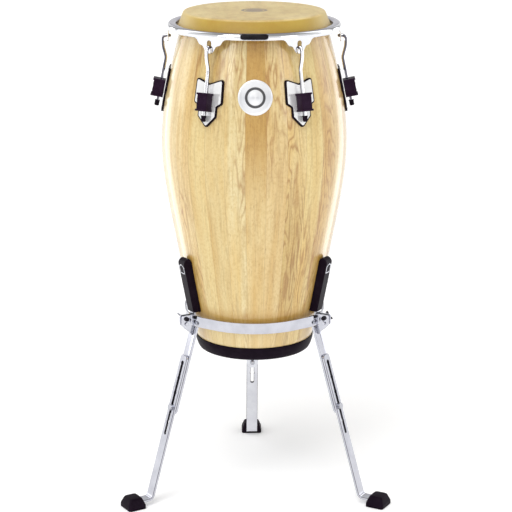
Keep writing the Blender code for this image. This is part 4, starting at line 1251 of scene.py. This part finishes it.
def build_drum():
    hoop = lathe(circle(HOOP_SECTION_R - GAP, 16, (HOOP_R, HOOP_Z)), 128)
    facing = AXIS @ turned(BADGE_AZIMUTH)
    piece("shell_staves", finish(shell_mesh(), WOOD), "drum", ["shell"], AXIS, slot="wood")
    piece("foot_ring", finish(bottom_ring_mesh(), RUBBER), "drum", ["bottom_ring"], AXIS, slot="rubber")
    piece("skin", finish(drumhead_mesh(), HIDE), "drum", ["drumhead"], AXIS, slot="skin")
    piece("hoop", finish(hoop, STEEL), "drum", ["flesh_hoop"], AXIS, slot="steel")
    # Painted shade on the rim's roll and inside, and a painted dark reflection on its bevelled edges.
    rim = mark_faces(finish(rim_mesh(), CHROME, DARK_REFLECTION_CHROME, ROLL_CHROME_PAINTED_SHADE), faces_the_axis, 2)
    piece("rim", rim, "rim", ["tension_rim"], AXIS, 0.0007, "chrome", 1)
    piece("round_badge", finish(badge_mesh(), BADGE), "drum", ["badge"], facing, slot="badge")
    piece("rim_label_edge", finish(label_mesh(0.0297, 0.0072, 0.00002, 0.0003), STEEL), "rim", (), AXIS)
    piece("rim_label", finish(label_mesh(0.0284, 0.0059, 0.00025, 0.0006), INK), "rim", (), AXIS)


def build_lugs():
    rod = finish(lug_rod_mesh(), ROD_CHROME, DARK_REFLECTION_CHROME)
    # Painted reflection: dark chrome down each side of the rod.
    mark_faces(rod, lambda middle, normal: abs(normal.y) > 0.84)
    gasket, plate = finish(gasket_mesh(), RUBBER), finish(side_plate_mesh(), PLATE_CHROME)
    block, cap = finish(lug_block_mesh(), PLASTIC), finish(rod_cap_mesh(), RUBBER)
    nut = finish(lug_nut_mesh(), STEEL)
    for number, azimuth in enumerate(LUG_AZIMUTHS, start=1):
        lug = azimuth_matrix(azimuth) @ LUG_LEAN
        for name, mesh, body, node, bevel, slot in (
                ("plate_gasket", gasket, "drum", "gasket", 0.0004, "rubber"),
                ("shield_plate", plate, "drum", "side_plate", 0.0004, "chrome"),
                ("block", block, "drum", "lug_block", 0.0004, "block"),
                ("hook_rod", rod, f"rod_{number}", "lug_rod", 0.0, "chrome"),
                ("rod_cap", cap, f"rod_{number}", None, 0.0, "rubber"),
                ("nut_piece", nut, f"nut_{number}", "lug_nut", 0.0006, "steel")):
            numbered(number, name, mesh, lug, body, node, bevel, slot)


def in_a_slot(middle, normal):
    """True on the walls of the lower bar's slot."""
    inside = abs(middle.y) < 0.006 and LEG_SLOT_LOW - 0.001 < middle.z < LOWER_BAR_TOP - 0.004
    return inside and abs(normal.x) < 0.3


def stand_meshes():
    """The stand's meshes by name, finished, each in its own frame."""
    made = {
        # Painted dark reflection: the band's and legs' bevelled edges use the dark chrome.
        "band": finish(ring_arc_mesh(), STAND_CHROME, DARK_REFLECTION_CHROME),
        "pad_bar": finish(upright_mesh(), STEEL),
        "shell_pad": finish(pad_mesh(), RUBBER, PAD_FACE_PAINTED_SHEEN),
        "pad_mark": finish(pad_mark_mesh(), STEEL),
        "leg_top": finish(upper_leg_mesh(), STAND_CHROME, DARK_REFLECTION_CHROME),
        "leg_bar": finish(lower_leg_mesh(), STAND_CHROME, DARK_REFLECTION_CHROME, BOLT_BLACK_AND_SLOT_SHADE),
        "rubber_foot": finish(foot_mesh(), RUBBER),
        "leg_knob": finish(lock_bolt_mesh(), STEEL),
        "wing_screw": finish(wing_bolt_mesh(), STEEL, BOLT_BLACK_AND_SLOT_SHADE),
    }
    # Painted sheen: the pad's outer face gets the greyer rubber.
    mark_faces(made["shell_pad"],
               lambda middle, normal: normal.x > 0.8 and middle.x > PAD_OUTER_R - 0.001)
    mark_faces(made["wing_screw"], lambda middle, normal: hypot(middle.x, middle.z) < 0.0052)
    # Painted shade: the walls of each leg's slot are black.
    mark_faces(made["leg_bar"], in_a_slot, 2)
    return made


def build_stand():
    meshes = stand_meshes()
    for number, (azimuth, wing_side) in enumerate(zip(LEG_AZIMUTHS, WING_SIDES), start=1):
        side = azimuth_matrix(azimuth)
        leg = side @ LEG_LEAN
        lock = leg @ Matrix.Translation((0.0, 0.0, LOCK_BOLT_Z))
        clamp = side @ Matrix.Translation((PIVOT_R, 0.0, WING_BOLT_Z)) @ turned(0 if wing_side > 0 else 180)
        # Painted light: the rear leg's bars get the lighter chrome.
        if number == REAR_LEG:
            for name in ("leg_top", "leg_bar"):
                meshes[name].materials[0] = REAR_CHROME_PAINTED_LIGHT
        for name, matrix, body, node, bevel, *rest in (
                ("band", azimuth_matrix(azimuth + 60), "stand", "ring_arc", 0.0006, "chrome", 1),
                ("pad_bar", side, "stand", "upright", 0.0005, "steel"),
                ("shell_pad", side, "stand", "pad", 0.001, "rubber"),
                ("pad_mark", side @ pad_mark_matrix(), "stand", None, 0.0003),
                ("leg_top", leg, f"upper_leg_{number}", "upper_leg", 0.0009, "chrome", 1),
                ("leg_bar", leg, f"lower_leg_{number}", "lower_leg", 0.0009, "chrome", 1),
                ("rubber_foot", leg, f"lower_leg_{number}", "foot", 0.0004, "rubber"),
                ("leg_knob", lock, f"lock_bolt_{number}", "lock_bolt", 0.0005, "steel"),
                ("wing_screw", clamp, f"wing_bolt_{number}", "wing_bolt", 0.0005, "steel")):
            numbered(number, name, meshes[name], matrix, body, node, bevel, *rest)


# ---- floor, light and camera -------------------------------------------------------------------
def floor_material():
    shader = material_shader("studio_floor")
    cloud = shader.noise(shader.place(), 0.6, 2.0)
    colour = shader.ramp(cloud, (0.3, srgb(250, 250, 250)), (0.7, srgb(253, 253, 253)))
    shader.set(Base_Color=colour, Roughness=0.9, IOR=1.2, Emission_Color=WHITE,
               Emission_Strength=FLOOR_GLOW)
    return shader.owner


def build_floor():
    shape = bmesh.new()
    bmesh.ops.create_grid(shape, x_segments=8, y_segments=8, size=FLOOR_SIZE)
    bmesh.ops.translate(shape, verts=shape.verts, vec=(0, 0, -FLOOR_DROP))
    mesh = to_mesh(shape)
    mesh.materials.append(floor_material())
    add_object("floor", mesh)


def area_light(name, location, target, width, height, power):
    data = bpy.data.lights.new(name, "AREA")
    data.shape = "RECTANGLE"
    data.size = width
    data.size_y = height
    data.energy = power
    light = add_object(name, data)
    light.location = location
    light.rotation_euler = (Vector(target) - Vector(location)).to_track_quat("-Z", "Y").to_euler()
    light.visible_camera = False
    return light


def build_world():
    """A white room: a dimmer ceiling, and on each side a bright panel with a dark screen behind it.

    The camera itself sees plain white past the floor's edge.
    """
    shader = Shader(bpy.data.worlds.new("studio"), "Background")
    x, y, z = shader.split(shader.node("TexCoord").outputs["Generated"])
    ceiling = shader.step(z, 0.3, 0.8, 1.0, 0.42)
    screen = shader.times(shader.step(shader.size(x), 0.35, 0.55), shader.step(y, 0.45, 0.65))
    grey = shader.times(shader.scaled(screen, -SCREEN_DARKNESS, 1.0), ceiling)
    wide = shader.times(shader.step(y, 0.12, 0.24), shader.step(y, 0.6, 0.44))
    panel = shader.times(wide, shader.step(z, 0.75, 0.9, PANEL_STRENGTH, 0.0))
    seen = shader.times(shader.node("LightPath").outputs["Is Camera Ray"], 1.0 / WORLD_STRENGTH)
    grey = shader.math("MAXIMUM", shader.math("ADD", grey, panel), seen)
    shader.set(Color=grey, Strength=WORLD_STRENGTH)
    bpy.context.scene.world = shader.owner


def build_light():
    middle = (AXIS_X, AXIS_Y, 0.62)
    sun = bpy.data.lights.new("sun", "SUN")
    sun.energy = SUN_STRENGTH
    sun.angle = radians(40)
    add_object("sun", sun).rotation_euler = (radians(28), radians(-12), 0.0)
    area_light("key", (-2.6, -3.4, 2.6), middle, 1.6, 1.6, KEY_POWER)
    area_light("fill", (3.0, -3.0, 1.8), middle, 1.6, 1.6, FILL_POWER)
    for name, side in (("strip_left", -1), ("strip_right", 1)):
        place = (AXIS_X + side * STRIP_ASIDE, AXIS_Y + STRIP_BEHIND, middle[2])
        strip = area_light(name, place, middle, 0.26, 1.2, STRIP_POWER)
        strip.visible_diffuse = False


def build_camera():
    data = bpy.data.cameras.new("camera")
    data.lens = CAMERA_LENS
    data.sensor_width = 36.0
    data.shift_x = CAMERA_SHIFT
    data.clip_start = 0.05
    data.clip_end = 200.0
    camera = add_object("camera", data)
    camera.location = (AXIS_X, AXIS_Y - CAMERA_DISTANCE, CAMERA_HEIGHT)
    camera.rotation_euler = (radians(90.0 - CAMERA_PITCH), 0.0, 0.0)
    bpy.context.scene.camera = camera


build_drum()
build_lugs()
build_stand()
build_floor()
build_world()
build_light()
build_camera()
bpy.context.scene.view_settings.view_transform = "Standard"
